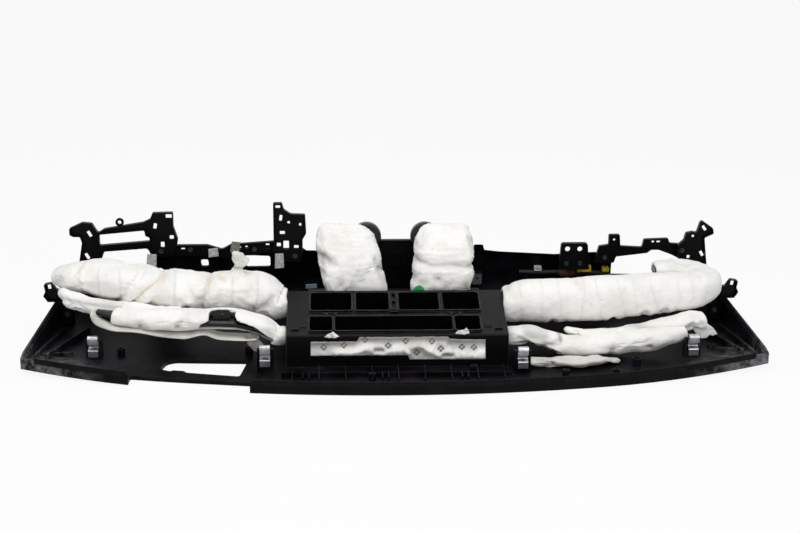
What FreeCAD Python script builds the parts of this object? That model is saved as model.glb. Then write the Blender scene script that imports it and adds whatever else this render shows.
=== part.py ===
import FreeCAD, Part
import math
import os

# Upper dashboard assembly of a large left-hand-drive vehicle. It lies upside down on its
# soft top pad, as it does on a bench, so +Z points to what is the vehicle's floor.
# X runs across the vehicle, the windshield edge is at -Y and the driver's side at +Y.
# The origin is the middle of the bounding box, on the surface that the pad lies on. Millimetres.

V = FreeCAD.Vector
UP = V(0, 0, 1)
BACK = V(0, 1, 0)
RIGHT = V(1, 0, 0)
ORIGIN = V(0, 0, 0)

# Overall form of the pad.
WIDTH = 1490.0
DEPTH = 580.0
CORNER_SET_BACK = 132.0
CORNER_EDGE = 30.0
SIDE_TAPER = 45.0
FASCIA_SET_BACK = 40.0
FLAT_WIDTH = 800.0
CROWN_RISE = 13.0
ROLL_RADIUS = 60.0
ROLL_SINK = 0.5
FASCIA_LEAN = 25.0
TALL = 400.0

# Walls.
PAD_WALL = 5.0
CARRIER_WALL = 3.0
BRACKET_WALL = 3.0
RIM_WALL = 2.5
FIT = 0.3

# Rim heights of the pad and of the carrier.
LIP_HEIGHT = 22.0
SIDE_RIM_REAR = 78.0
FASCIA_START_Y = 175.0
SKIN_TOP = 112.0
SKIN_END_TOP = 80.0

# Windshield edge trim, a soft bead pushed onto the lip.
TRIM_OVERHANG = 1.5
TRIM_HEIGHT = 9.0
TRIM_GRIP = 5.0
TRIM_END = 716.0
NOTCH_LEFT = -526.0
NOTCH_RIGHT = -288.0
NOTCH_LEFT_Y = -192.0
NOTCH_RIGHT_Y = -232.0

# Head-up display opening in the pad.
HUD_LEFT = -460.0
HUD_RIGHT = -300.0
HUD_REAR = -92.0
HUD_FRONT_LEFT = -150.0
HUD_FRONT_RIGHT = -196.0
HUD_CORNER = 26.0

# Planes of the moulded brackets on the fascia, seen from the windshield side.
BRACKET_FRONT = 203.0
BRACKET_DEPTH = 12.0
BRACKET_BACK = BRACKET_FRONT + BRACKET_DEPTH
RAIL_DEPTH = 10.0
RAIL_BACK = BRACKET_BACK + RAIL_DEPTH
END_BRACKET_FRONT = 104.0
STEEL_CLIP_Y = 250.0

# Air manifold in the middle.
MANIFOLD_WIDTH = 444.0
MANIFOLD_FRONT = -144.0
MANIFOLD_TOP_FRONT = -132.0
MANIFOLD_FAR = 40.0
MANIFOLD_BACK = 112.0
MANIFOLD_FRONT_HEIGHT = 74.0
MANIFOLD_TILT = 12.0
NECK_HEIGHT = 96.0
FRONT_PORTS = [(-176, -130), (-125, 112), (117, 168)]
REAR_PORTS = [(-175, -91), (-82, -14), (6, 89), (97, 172)]
ROW_GAP = 25.0
FRONT_ROW = 60.0
REAR_ROW = 74.0
PORT_DEPTH = 46.0
PORT_RIM = 4.0
PORT_CORNER = 6.0

# Fleece and ducts.
FLEECE = 11.0
DUCT_WALL = 2.5
SLEEVE_SIDES = 14
GATHER_DEPTH = 0.055
GATHER_PITCH = 95.0
CENTRE_PITCH = 30.0

# Spring clips on the pad.
CLIP_WIDTH = 20.0
CLIP_STRIP = 1.5
TOWER_WIDTH = 32.0
TOWER_DEPTH = 22.0
TOWER_HEIGHT = 45.0

# Screws that hold the brackets.
SCREW_HEAD = 7.0
SCREW_HEAD_HEIGHT = 5.0
SCREW_FLANGE = 5.5
SCREW_FLANGE_HEIGHT = 1.5
SCREW_SHANK = 2.5
SCREW_LENGTH = 16.0

# Holes that the glovebox hangs from.
GLOVEBOX_X = 399.5
GLOVEBOX_HOLE_Z = 153.0
GLOVEBOX_HOLE_PITCH = 27.0
GLOVEBOX_HOLE_RADIUS = 5.5

# Small soft parts and wiring.
FELT = 1.5
LOOM_RADIUS = 6.0
LOOM_HEIGHT = 88.0
TAPE = 1.5
PLUG_DEPTH = 15.0

HALF_WIDTH = WIDTH / 2
REAR_Y = DEPTH / 2
PAD_FRONT = TRIM_OVERHANG - DEPTH / 2
FRONT_RADIUS = (HALF_WIDTH ** 2 + CORNER_SET_BACK ** 2) / (2 * CORNER_SET_BACK)
FRONT_CENTRE = V(0, PAD_FRONT + FRONT_RADIUS, 0)
REAR_RADIUS = (HALF_WIDTH ** 2 + FASCIA_SET_BACK ** 2) / (2 * FASCIA_SET_BACK)
REAR_CENTRE = V(0, REAR_Y - REAR_RADIUS, 0)
FLOOR = PAD_WALL + CARRIER_WALL

parts = {}


# Helpers for outlines and solids.

def outline(corners, place):
    """Face inside a closed line through corners (a, b) or (a, b, corner radius)."""
    count = len(corners)
    starts = []
    middles = []
    ends = []
    for i in range(count):
        before = V(corners[i - 1][0], corners[i - 1][1], 0)
        here = V(corners[i][0], corners[i][1], 0)
        after = V(corners[(i + 1) % count][0], corners[(i + 1) % count][1], 0)
        radius = corners[i][2] if len(corners[i]) > 2 else 0
        to_before = before - here
        to_after = after - here
        half = to_before.getAngle(to_after) / 2
        if radius == 0 or half > math.pi / 2 - 0.01:
            starts.append(here)
            middles.append(None)
            ends.append(here)
            continue
        reach = min(radius / math.tan(half), 0.45 * to_before.Length, 0.45 * to_after.Length)
        radius = reach * math.tan(half)
        to_before.normalize()
        to_after.normalize()
        inward = to_before + to_after
        inward.normalize()
        starts.append(here + to_before * reach)
        middles.append(here + inward * (radius / math.sin(half) - radius))
        ends.append(here + to_after * reach)
    edges = []
    for i in range(count):
        after = (i + 1) % count
        if middles[i] is not None:
            arc = Part.Arc(place(starts[i].x, starts[i].y), place(middles[i].x, middles[i].y),
                           place(ends[i].x, ends[i].y))
            edges.append(arc.toShape())
        line_start = place(ends[i].x, ends[i].y)
        line_end = place(starts[after].x, starts[after].y)
        if line_start.distanceToPoint(line_end) > 0.001:
            edges.append(Part.makeLine(line_start, line_end))
    return Part.Face(Part.Wire(edges))


def front_plate(corners, y_front, y_back):
    """Outline drawn in x and z, as seen from the windshield side, with a depth along y."""
    face = outline(corners, lambda a, b: V(a, y_front, b))
    return face.extrude(V(0, y_back - y_front, 0))


def side_prism(corners, x_left, x_right):
    """Outline drawn in y and z, with a width along x."""
    face = outline(corners, lambda a, b: V(x_left, a, b))
    return face.extrude(V(x_right - x_left, 0, 0))


def plan_prism(corners, z_low, z_high):
    """Outline drawn in x and y, with a height along z."""
    face = outline(corners, lambda a, b: V(a, b, z_low))
    return face.extrude(V(0, 0, z_high - z_low))


def box(x_low, y_low, z_low, x_high, y_high, z_high):
    return Part.makeBox(x_high - x_low, y_high - y_low, z_high - z_low, V(x_low, y_low, z_low))


def slot(x, z, width, height, turn=0.0, corner=1.5):
    """Cutter for a hole with rounded corners through a bracket, turned about its middle."""
    half_w = width / 2
    half_h = height / 2
    corners = [(-half_w, -half_h, corner), (half_w, -half_h, corner),
               (half_w, half_h, corner), (-half_w, half_h, corner)]
    cutter = front_plate(corners, BRACKET_FRONT - 20, REAR_Y)
    cutter.rotate(ORIGIN, BACK, -turn)
    cutter.translate(V(x, 0, z))
    return cutter


def bore(x, z, radius):
    """Cutter for a round hole through a bracket."""
    return Part.makeCylinder(radius, REAR_Y - BRACKET_FRONT + 20, V(x, BRACKET_FRONT - 20, z), BACK)


def moulding(corners, y_front, depth, windows=()):
    """Moulded bracket: a thin plate at the back with a rim along its outline and its windows."""
    face = outline(corners, lambda a, b: V(a, y_front, b))
    body = face.extrude(V(0, depth, 0))
    hollow = face.makeOffset2D(-RIM_WALL).extrude(V(0, depth - BRACKET_WALL, 0))
    for window in windows:
        opening = outline(window, lambda a, b: V(a, y_front, b))
        frame = opening.makeOffset2D(RIM_WALL).extrude(V(0, depth, 0))
        body = body.cut(opening.extrude(V(0, depth, 0)))
        hollow = hollow.cut(frame)
    return body.cut(hollow)


def drilled(body, cutters):
    return body.cut(Part.Compound(cutters))


# The form that the pad and its carrier share.

def dash_form(inset):
    """Closed form of the dashboard's top and fascia, set in from the outer skin by inset."""
    # The fascia: the floor line rolls up into a wall that leans back over the pad,
    # turned about an upright axis so that the wall bows towards the driver. The roll's
    # lowest point lies a little under the floor, so the floor cuts it at a clear angle.
    roll = ROLL_RADIUS - inset
    lean = math.radians(FASCIA_LEAN)
    arc_y = REAR_Y - ROLL_RADIUS
    arc_z = ROLL_RADIUS - ROLL_SINK
    bottom = V(0, arc_y, arc_z - roll)
    widest = V(0, arc_y + roll * math.cos(math.radians(35)),
               arc_z - roll * math.sin(math.radians(35)))
    wall_start = V(0, arc_y + roll * math.cos(lean), arc_z + roll * math.sin(lean))
    wall_rise = TALL - wall_start.z
    wall_top = V(0, wall_start.y - wall_rise * math.tan(lean), TALL)
    inner_low = V(0, -DEPTH, bottom.z)
    inner_high = V(0, -DEPTH, TALL)
    profile = Part.Wire([
        Part.makeLine(inner_low, bottom),
        Part.Arc(bottom, widest, wall_start).toShape(),
        Part.makeLine(wall_start, wall_top),
        Part.makeLine(wall_top, inner_high),
        Part.makeLine(inner_high, inner_low)])
    sweep_angle = 2 * math.degrees(math.asin((HALF_WIDTH + 60) / (REAR_RADIUS - DEPTH)))
    face = Part.Face(profile)
    face.rotate(REAR_CENTRE, UP, -sweep_angle / 2)
    form = face.revolve(REAR_CENTRE, UP, sweep_angle)

    # The plan: an arc along the windshield, short upright corner edges and tapered sides.
    corner_y = PAD_FRONT + CORNER_SET_BACK
    half = HALF_WIDTH - inset
    arc_end = FRONT_CENTRE.y - math.sqrt((FRONT_RADIUS - inset) ** 2 - half ** 2)
    plan = Part.Wire([
        Part.Arc(V(-half, arc_end, 0), V(0, PAD_FRONT + inset, 0), V(half, arc_end, 0)).toShape(),
        Part.makeLine(V(half, arc_end, 0), V(half, corner_y + CORNER_EDGE, 0)),
        Part.makeLine(V(half, corner_y + CORNER_EDGE, 0), V(half - SIDE_TAPER, REAR_Y + 10, 0)),
        Part.makeLine(V(half - SIDE_TAPER, REAR_Y + 10, 0), V(SIDE_TAPER - half, REAR_Y + 10, 0)),
        Part.makeLine(V(SIDE_TAPER - half, REAR_Y + 10, 0), V(-half, corner_y + CORNER_EDGE, 0)),
        Part.makeLine(V(-half, corner_y + CORNER_EDGE, 0), V(-half, arc_end, 0))])
    form = form.common(Part.Face(plan).extrude(V(0, 0, TALL)))

    return form.common(crown_band(inset, TALL, -DEPTH, DEPTH))


def crown_line(z, y):
    """Line across the dashboard: flat in the middle, rising a little towards both ends."""
    flat = FLAT_WIDTH / 2
    knee = (flat + HALF_WIDTH) / 2
    return [
        Part.Arc(V(-HALF_WIDTH, y, z + CROWN_RISE), V(-knee, y, z + CROWN_RISE / 4),
                 V(-flat, y, z)).toShape(),
        Part.makeLine(V(-flat, y, z), V(flat, y, z)),
        Part.Arc(V(flat, y, z), V(knee, y, z + CROWN_RISE / 4),
                 V(HALF_WIDTH, y, z + CROWN_RISE)).toShape()]


def crown_band(z_low, z_high, y_front, y_rear):
    """Solid between two crowned surfaces, as wide as the pad."""
    left, right = [Part.makeLine(V(side, y_front, z_low + CROWN_RISE),
                                 V(side, y_front, z_high + CROWN_RISE))
                   for side in (-HALF_WIDTH, HALF_WIDTH)]
    upper = crown_line(z_high, y_front)
    face = Part.Face(Part.Wire(crown_line(z_low, y_front) + [right] + upper[::-1] + [left]))
    return face.extrude(V(0, y_rear - y_front, 0))


def rim_trim(extra):
    """Everything under the rim line of the lip and of the sides, moved up by extra."""
    corner_y = PAD_FRONT + CORNER_SET_BACK
    front = crown_band(-1, LIP_HEIGHT + extra, -DEPTH, corner_y)
    sides = side_prism([
        (corner_y, -1), (FASCIA_START_Y, -1), (FASCIA_START_Y, SIDE_RIM_REAR + extra),
        (corner_y, LIP_HEIGHT + CROWN_RISE + extra)], -WIDTH, WIDTH)
    return front.fuse(sides)


def floor_openings():
    """The head-up display opening and the notch in the windshield edge."""
    hud = plan_prism([
        (HUD_LEFT, HUD_REAR, HUD_CORNER), (HUD_RIGHT, HUD_REAR - 9, 8),
        (HUD_RIGHT - 12, HUD_FRONT_RIGHT, 6), (-418, -171, 4), (-424, -161, 4),
        (-446, -157, 4), (-450, -163, 4), (HUD_LEFT - 14, HUD_FRONT_LEFT, 22)], -1, 30)
    notch = plan_prism([
        (NOTCH_LEFT, -DEPTH), (NOTCH_RIGHT, -DEPTH),
        (NOTCH_RIGHT, NOTCH_RIGHT_Y, 5), (NOTCH_LEFT, NOTCH_LEFT_Y, 5)], -1, 60)
    return Part.Compound([hud, notch])


# Openings through the fascia wall, in x and z.
CLUSTER_OPENING = [(-455, 34, 12), (-285, 34, 12), (-285, 76, 12), (-455, 76, 12)]
FASCIA_WINDOW = [(-322, 102, 5), (-268, 102, 5), (-268, 130, 5), (-300, 132, 3),
                 (-304, 138, 3), (-322, 138, 5)]
SMALL_WINDOW = [(-420, 106, 4), (-404, 106, 4), (-404, 124, 4), (-420, 124, 4)]


def top_pad():
    shell = dash_form(0).cut(dash_form(PAD_WALL))
    fascia = front_plate([
        (-WIDTH, -1), (WIDTH, -1), (WIDTH, SIDE_RIM_REAR), (470, SKIN_END_TOP),
        (440, SKIN_TOP, 20), (-480, SKIN_TOP, 20), (-510, SKIN_END_TOP),
        (-WIDTH, SIDE_RIM_REAR)], FASCIA_START_Y, REAR_Y + 10)
    shell = shell.common(rim_trim(0).fuse(fascia))
    openings = [floor_openings(), front_plate(CLUSTER_OPENING, FASCIA_START_Y, REAR_Y + 10),
                front_plate(FASCIA_WINDOW, FASCIA_START_Y, REAR_Y + 10),
                front_plate(SMALL_WINDOW, FASCIA_START_Y, REAR_Y + 10)]
    return drilled(shell, openings)


def fascia_outline():
    """Top line of the carrier's wall, from the driver's end to the passenger's end."""
    return [
        (-WIDTH, -1), (WIDTH, -1), (WIDTH, 70), (668, 72, 6), (664, 98, 6), (640, 98, 6),
        (630, 78, 6), (492, 78, 6), (488, 140, 4), (436, 138, 6), (362, 132, 6), (240, 138),
        (206, 142, 3), (202, 156, 3), (184, 156, 3), (176, 144, 6), (92, 146, 10),
        (78, 164, 6), (-52, 164, 6), (-68, 146, 10), (-162, 142, 4), (-188, 143, 4),
        (-196, 150, 4), (-250, 150, 4), (-262, 158, 4), (-346, 152, 12), (-374, 142, 12),
        (-404, 150, 6), (-468, 152, 6), (-530, 140, 8), (-534, 92, 8), (-630, 88, 8),
        (-640, 96, 4), (-676, 96, 4), (-684, 70, 6), (-WIDTH, 70)]


def bracket_seats():
    """Pads on the carrier's wall that the brackets are screwed to: x, z, width, height, face."""
    return [
        (-500, 150, 44, 18, RAIL_BACK), (-440, 152, 20, 14, RAIL_BACK), (-301, 152, 16, 14, RAIL_BACK),
        (-662, 82, 26, 26, BRACKET_BACK), (-228, 140, 48, 14, BRACKET_BACK),
        (-40, 150, 16, 22, BRACKET_BACK), (62, 150, 16, 22, BRACKET_BACK),
        (399, 120, 40, 16, BRACKET_BACK), (472, 130, 24, 14, RAIL_BACK),
        (656, 84, 14, 22, BRACKET_BACK), (191, 74, 26, 30, STEEL_CLIP_Y), (-178, 60, 30, 16, STEEL_CLIP_Y)]


def ribs():
    """Ribs and screw bosses that stand on the carrier's floor in front of the manifold."""
    pieces = []
    low = PAD_WALL + 1
    rib_front = -236.0
    rib_rear = MANIFOLD_FRONT - 22
    for i in range(9):
        x = -208 + i * 52
        pieces.append(side_prism([
            (rib_front, low), (rib_rear, low), (rib_rear, FLOOR + 14, 4), (rib_front, FLOOR + 7, 3)],
            x - 1, x + 1))
    pieces.append(box(-230, -204, low, 224, -202, FLOOR + 9))
    for x in (-182, -26, 130):
        for side in (-6, 6):
            pieces.append(box(x + side - 1, -236, low, x + side + 1, -204, FLOOR + 11))
    for x, y, radius, height in ((-300, -60, 8, 14), (150, -180, 7, 14), (330, -205, 7, 12),
                                 (480, -150, 9, 16), (430, -205, 7, 12), (-560, -60, 8, 14),
                                 (-52, -222, 7, 14), (650, -60, 8, 14)):
        post = Part.makeCylinder(radius, height + 2, V(x, y, low), UP)
        pieces.append(post.cut(Part.makeCylinder(radius - 3, height, V(x, y, FLOOR), UP)))
    # Corner ribs at both ends, running from the corner to the rear of each side.
    for side in (-1, 1):
        for start_x, end_x in ((700, 640), (722, 690)):
            rib = plan_prism([
                (side * start_x, -120), (side * (start_x + 3), -120),
                (side * (end_x + 3), 60), (side * end_x, 60)], low, FLOOR + 22)
            pieces.append(rib)
        gusset = plan_prism([
            (side * 712, -96), (side * 652, -88), (side * 652, -84), (side * 712, -92)],
            low, FLOOR + 16)
        pieces.append(gusset)
    return pieces


def clip_places():
    """Middle of each clip tower's front face on the floor."""
    return [(-609, -100), (-263, -166), (246, -186), (600, -114)]


def clip_tower(x, y):
    """Post that a spring clip grips, with a slot for its strip."""
    half = TOWER_WIDTH / 2
    post = side_prism([
        (y, PAD_WALL + 1), (y + TOWER_DEPTH, PAD_WALL + 1), (y + TOWER_DEPTH, FLOOR + 20),
        (y + 10, FLOOR + TOWER_HEIGHT), (y, FLOOR + TOWER_HEIGHT)], x - half, x + half)
    recess = box(x - CLIP_WIDTH / 2 - 1, y - 1, FLOOR + 4,
                 x + CLIP_WIDTH / 2 + 1, y + CLIP_STRIP, FLOOR + TOWER_HEIGHT + 1)
    return post.cut(recess)


def end_seats():
    """Blocks on the carrier's ends that the end brackets stand on."""
    blocks = []
    for side in (-1, 1):
        low = min(side * 682, side * 710)
        blocks.append(box(low, END_BRACKET_FRONT + BRACKET_DEPTH, PAD_WALL + 4,
                          low + 28, END_BRACKET_FRONT + BRACKET_DEPTH + 14, 62))
    return blocks


def carrier():
    """Hard moulding inside the pad: ribbed floor, sides and the fascia wall."""
    lining = dash_form(PAD_WALL)
    shell = lining.cut(dash_form(FLOOR))
    wall_zone = front_plate(fascia_outline(), FASCIA_START_Y, REAR_Y + 10)
    shell = shell.common(rim_trim(-TRIM_GRIP - FIT).fuse(wall_zone))
    extras = ribs() + end_seats() + loom_saddles()
    for x, y in clip_places():
        extras.append(clip_tower(x, y))
    for x, z, width, height, face in bracket_seats():
        extras.append(box(x - width / 2, face, z - height / 2, x + width / 2, REAR_Y, z + height / 2))
    body = shell.multiFuse([lining.common(piece) for piece in extras])
    openings = [floor_openings(), front_plate(CLUSTER_OPENING, FASCIA_START_Y, REAR_Y + 10),
                front_plate(FASCIA_WINDOW, FASCIA_START_Y, REAR_Y + 10),
                front_plate(SMALL_WINDOW, FASCIA_START_Y, REAR_Y + 10)]
    return drilled(body, openings).removeSplitter()


def arc_band(outer, inner):
    """Upright band between two radii about the centre of the windshield edge's arc."""
    tube_outer = Part.makeCylinder(outer, TALL, FRONT_CENTRE - V(0, 0, 1), UP)
    return tube_outer.cut(Part.makeCylinder(inner, TALL, FRONT_CENTRE - V(0, 0, 1), UP))


def edge_trim(x_start, x_end):
    """Soft bead pushed onto the lip. It follows the crown and narrows at its top."""
    low = LIP_HEIGHT - TRIM_GRIP
    high = low + TRIM_HEIGHT
    stretch = box(x_start, -DEPTH, 0, x_end, 0, TALL)
    outer = FRONT_RADIUS + TRIM_OVERHANG
    inner = FRONT_RADIUS - PAD_WALL - CARRIER_WALL
    foot = arc_band(outer, inner).common(stretch).common(crown_band(low, high - 2, -DEPTH, 0))
    crest = arc_band(outer - 2, inner + 2).common(stretch).common(crown_band(high - 2, high, -DEPTH, 0))
    groove = arc_band(FRONT_RADIUS + FIT, FRONT_RADIUS - PAD_WALL - FIT).common(stretch)
    groove = groove.common(crown_band(low - 1, LIP_HEIGHT, -DEPTH, 0))
    return foot.fuse(crest).cut(groove)


# Air manifold.

def tilted(shape):
    """Turns a shape drawn on the manifold's flat top frame into its tilted place."""
    shape.rotate(ORIGIN, RIGHT, MANIFOLD_TILT)
    shape.translate(V(0, MANIFOLD_TOP_FRONT, MANIFOLD_FRONT_HEIGHT + 2))
    return shape


def port_places():
    """Openings on the manifold's top: x range and range along the tilted top."""
    rear = FRONT_ROW + ROW_GAP
    ports = [(low, high, 3, FRONT_ROW) for low, high in FRONT_PORTS]
    ports += [(low, high, rear, rear + REAR_ROW) for low, high in REAR_PORTS]
    return ports


def air_manifold():
    half = MANIFOLD_WIDTH / 2
    rise = math.tan(math.radians(MANIFOLD_TILT))
    far_height = MANIFOLD_FRONT_HEIGHT + 2 + (MANIFOLD_FAR - MANIFOLD_TOP_FRONT) * rise
    body = side_prism([
        (MANIFOLD_FRONT, FLOOR), (MANIFOLD_BACK, FLOOR), (MANIFOLD_BACK, NECK_HEIGHT, 4),
        (MANIFOLD_FAR + 3, NECK_HEIGHT), (MANIFOLD_FAR, far_height, 3),
        (MANIFOLD_TOP_FRONT, MANIFOLD_FRONT_HEIGHT + 2, 3),
        (MANIFOLD_FRONT, MANIFOLD_FRONT_HEIGHT, 4)], -half, half)
    # The neck behind the ports is as wide as the two centre ducts, so both rear corners are cut.
    for side in (-1, 1):
        low = min(side * half, side * 182)
        body = body.cut(box(low, MANIFOLD_FAR + 14, FLOOR + 30, low + half - 182, MANIFOLD_BACK + 1, TALL))
    rims = []
    hollows = []
    for x_low, x_high, near, far in port_places():
        rim = plan_prism([
            (x_low - 2.5, near - 2.5, PORT_CORNER + 2), (x_high + 2.5, near - 2.5, PORT_CORNER + 2),
            (x_high + 2.5, far + 2.5, PORT_CORNER + 2), (x_low - 2.5, far + 2.5, PORT_CORNER + 2)],
            -6, PORT_RIM)
        hollow = plan_prism([
            (x_low, near, PORT_CORNER), (x_high, near, PORT_CORNER),
            (x_high, far, PORT_CORNER), (x_low, far, PORT_CORNER)], -PORT_DEPTH, PORT_RIM + 1)
        rims.append(tilted(rim))
        hollows.append(tilted(hollow))
    body = body.multiFuse(rims)
    return drilled(body, hollows).removeSplitter()


def insulation_strip():
    """Fleece strip welded to the manifold's front wall; its lower edge steps down at one side."""
    back = MANIFOLD_FRONT - FIT
    corners = [(-173, 33, 3), (20, 33, 2), (24, 24, 2), (175, 24, 3), (175, 64, 3), (104, 66, 2),
               (100, 71, 2), (-76, 71, 2), (-82, 62, 2), (-173, 62, 3)]
    sheet = front_plate(corners, back - 3, back)
    pillows = []
    for i in range(8):
        x = -70 + i * 31
        z = 46 if i % 2 else 50
        pillows.append(Part.makeSphere(16, V(x, back + 8.5, z)))
    bumps = Part.Compound(pillows).common(box(-WIDTH, back - 12, 0, WIDTH, back - 1, TALL))
    return sheet.multiFuse(bumps.Solids)


# Ducts and their fleece sleeves: ruled lofts through closed sections along a path.

def ring(centre, along, side, half_depth, half_height, power):
    """Closed section: a rounded box by the superellipse formula, square to the path.

    Its depth lies along side, or level where side is None, and its height square to that."""
    tangent = V(along)
    tangent.normalize()
    across = UP.cross(tangent) if side is None else side - tangent * side.dot(tangent)
    across.normalize()
    over = tangent.cross(across)
    points = []
    for i in range(SLEEVE_SIDES):
        angle = 2 * math.pi * (i + 0.5) / SLEEVE_SIDES
        c = math.cos(angle)
        s = math.sin(angle)
        reach = (abs(c) ** power + abs(s) ** power) ** (-1 / power)
        points.append(centre + across * (c * reach * half_depth) + over * (s * reach * half_height))
    return Part.makePolygon(points + [points[0]])


def along_path(keys, pitch):
    """Stations between the keys (x, y, z, half depth, half height), about pitch apart."""
    stations = []
    for first, second in zip(keys[:-1], keys[1:]):
        gap = V(*second[:3]).distanceToPoint(V(*first[:3]))
        steps = max(1, round(gap / pitch))
        for i in range(steps):
            share = i / steps
            stations.append([a + (b - a) * share for a, b in zip(first, second)])
    stations.append(list(keys[-1]))
    return stations


def tube(stations, side, grow, gather=0.0, longer=0.0, power=2.5):
    """Solid loft along the stations, each section grown by a margin.

    gather pinches every other section, and longer carries both ends straight on."""
    wires = []
    last = len(stations) - 1
    for i, (x, y, z, half_depth, half_height) in enumerate(stations):
        before = V(*stations[max(i - 1, 0)][:3])
        after = V(*stations[min(i + 1, last)][:3])
        tangent = after - before
        tangent.normalize()
        pinch = 1 - gather if i % 2 else 1.0
        centres = [V(x, y, z)]
        if longer and i == 0:
            centres.insert(0, V(x, y, z) - tangent * longer)
        if longer and i == last:
            centres.append(V(x, y, z) + tangent * longer)
        for centre in centres:
            wires.append(ring(centre, tangent, side, half_depth * pinch + grow,
                              half_height * pinch + grow, power))
    return Part.makeLoft(wires, True, True)


# Each path: keys from the manifold outwards, as x, y, z, half depth, half height of the sleeve.
PORT_FACE = MANIFOLD_WIDTH / 2 + FIT
DRIVER_SIDE = [(-PORT_FACE, 30, 91, 44, 31), (-244, 30, 91, 48, 34), (-276, 32, 106, 54, 38),
               (-310, 34, 111, 55, 38), (-376, 35, 113, 56, 36), (-490, 36, 122, 57, 37),
               (-593, 38, 139, 56, 36), (-650, 40, 146, 50, 28), (-708, 40, 146, 28, 18)]
DRIVER_DEMISTER = [(-PORT_FACE, -86, 56, 28, 19), (-244, -86, 56, 29, 19), (-280, -85, 74, 33, 20),
                   (-330, -84, 86, 34, 20), (-400, -82, 88, 34, 18), (-480, -80, 89, 34, 18),
                   (-552, -74, 95, 30, 18), (-604, -64, 101, 22, 17)]
PASSENGER_DEMISTER = [(PORT_FACE, -86, 53, 28, 19), (244, -86, 53, 29, 19), (270, -86, 56, 32, 20),
                      (300, -88, 50, 34, 18), (346, -90, 38, 34, 18), (420, -90, 37, 36, 18),
                      (500, -88, 42, 34, 18), (560, -78, 49, 28, 18), (590, -70, 54, 21, 17)]


def passenger_side_path():
    """The passenger duct runs out along x, turns back on itself and ends over its own run."""
    keys = [(PORT_FACE, 10, 91, 40, 37), (244, 10, 91, 42, 40), (270, 10, 95, 44, 43),
            (346, 10, 97, 46, 44), (431, 10, 101, 46, 44), (515, 10, 108, 46, 41)]
    turn_x = 604.0
    turn_radius = 47.0
    turns = 6
    for i in range(turns + 1):
        angle = math.radians(-90 + 180 * i / turns)
        share = i / turns
        keys.append((turn_x + turn_radius * math.cos(angle),
                     10 + turn_radius + turn_radius * math.sin(angle),
                     115 + 20 * share, 42 - 9 * share, 39 - 19 * share))
    keys.append((556, 104, 136, 30, 18))
    return keys


def centre_path(side):
    """Both centre ducts stand on the manifold's neck, lean back and narrow towards the top."""
    foot, knee, waist, top = (-76, -86, -93, -104) if side < 0 else (98, 103, 107, 107)
    return [(foot, 74, NECK_HEIGHT + 2 * FIT, 64, 26), (foot, 74, NECK_HEIGHT + 14, 65, 28),
            (knee, 83, 130, 66, 36), (waist, 102, 163, 66, 40), (top, 126, 200, 63, 37),
            (top, 142, 222, 55, 28)]


def duct_pair(path, side, pitch, power=2.5):
    """Sleeve and blown duct on one path, both open at their ends."""
    stations = along_path(path, pitch)
    outer = tube(stations, side, 0, GATHER_DEPTH, 0, power)
    bore_solid = tube(stations, side, -FLEECE, 0, 5, power)
    duct = tube(stations, side, -FLEECE - FIT, 0, 0, power)
    hollow = tube(stations, side, -FLEECE - FIT - DUCT_WALL, 0, 5, power)
    return outer.cut(bore_solid), duct.cut(hollow)


def pillow(keys, side, pitch, neighbours):
    """Loose fleece fold: a gathered loft, pressed into shape by the pieces that it lies against."""
    body = tube(along_path(keys, pitch), side, 0, GATHER_DEPTH)
    for neighbour in neighbours:
        body = body.cut(neighbour)
    return max(body.Solids, key=lambda solid: solid.Volume)


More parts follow.
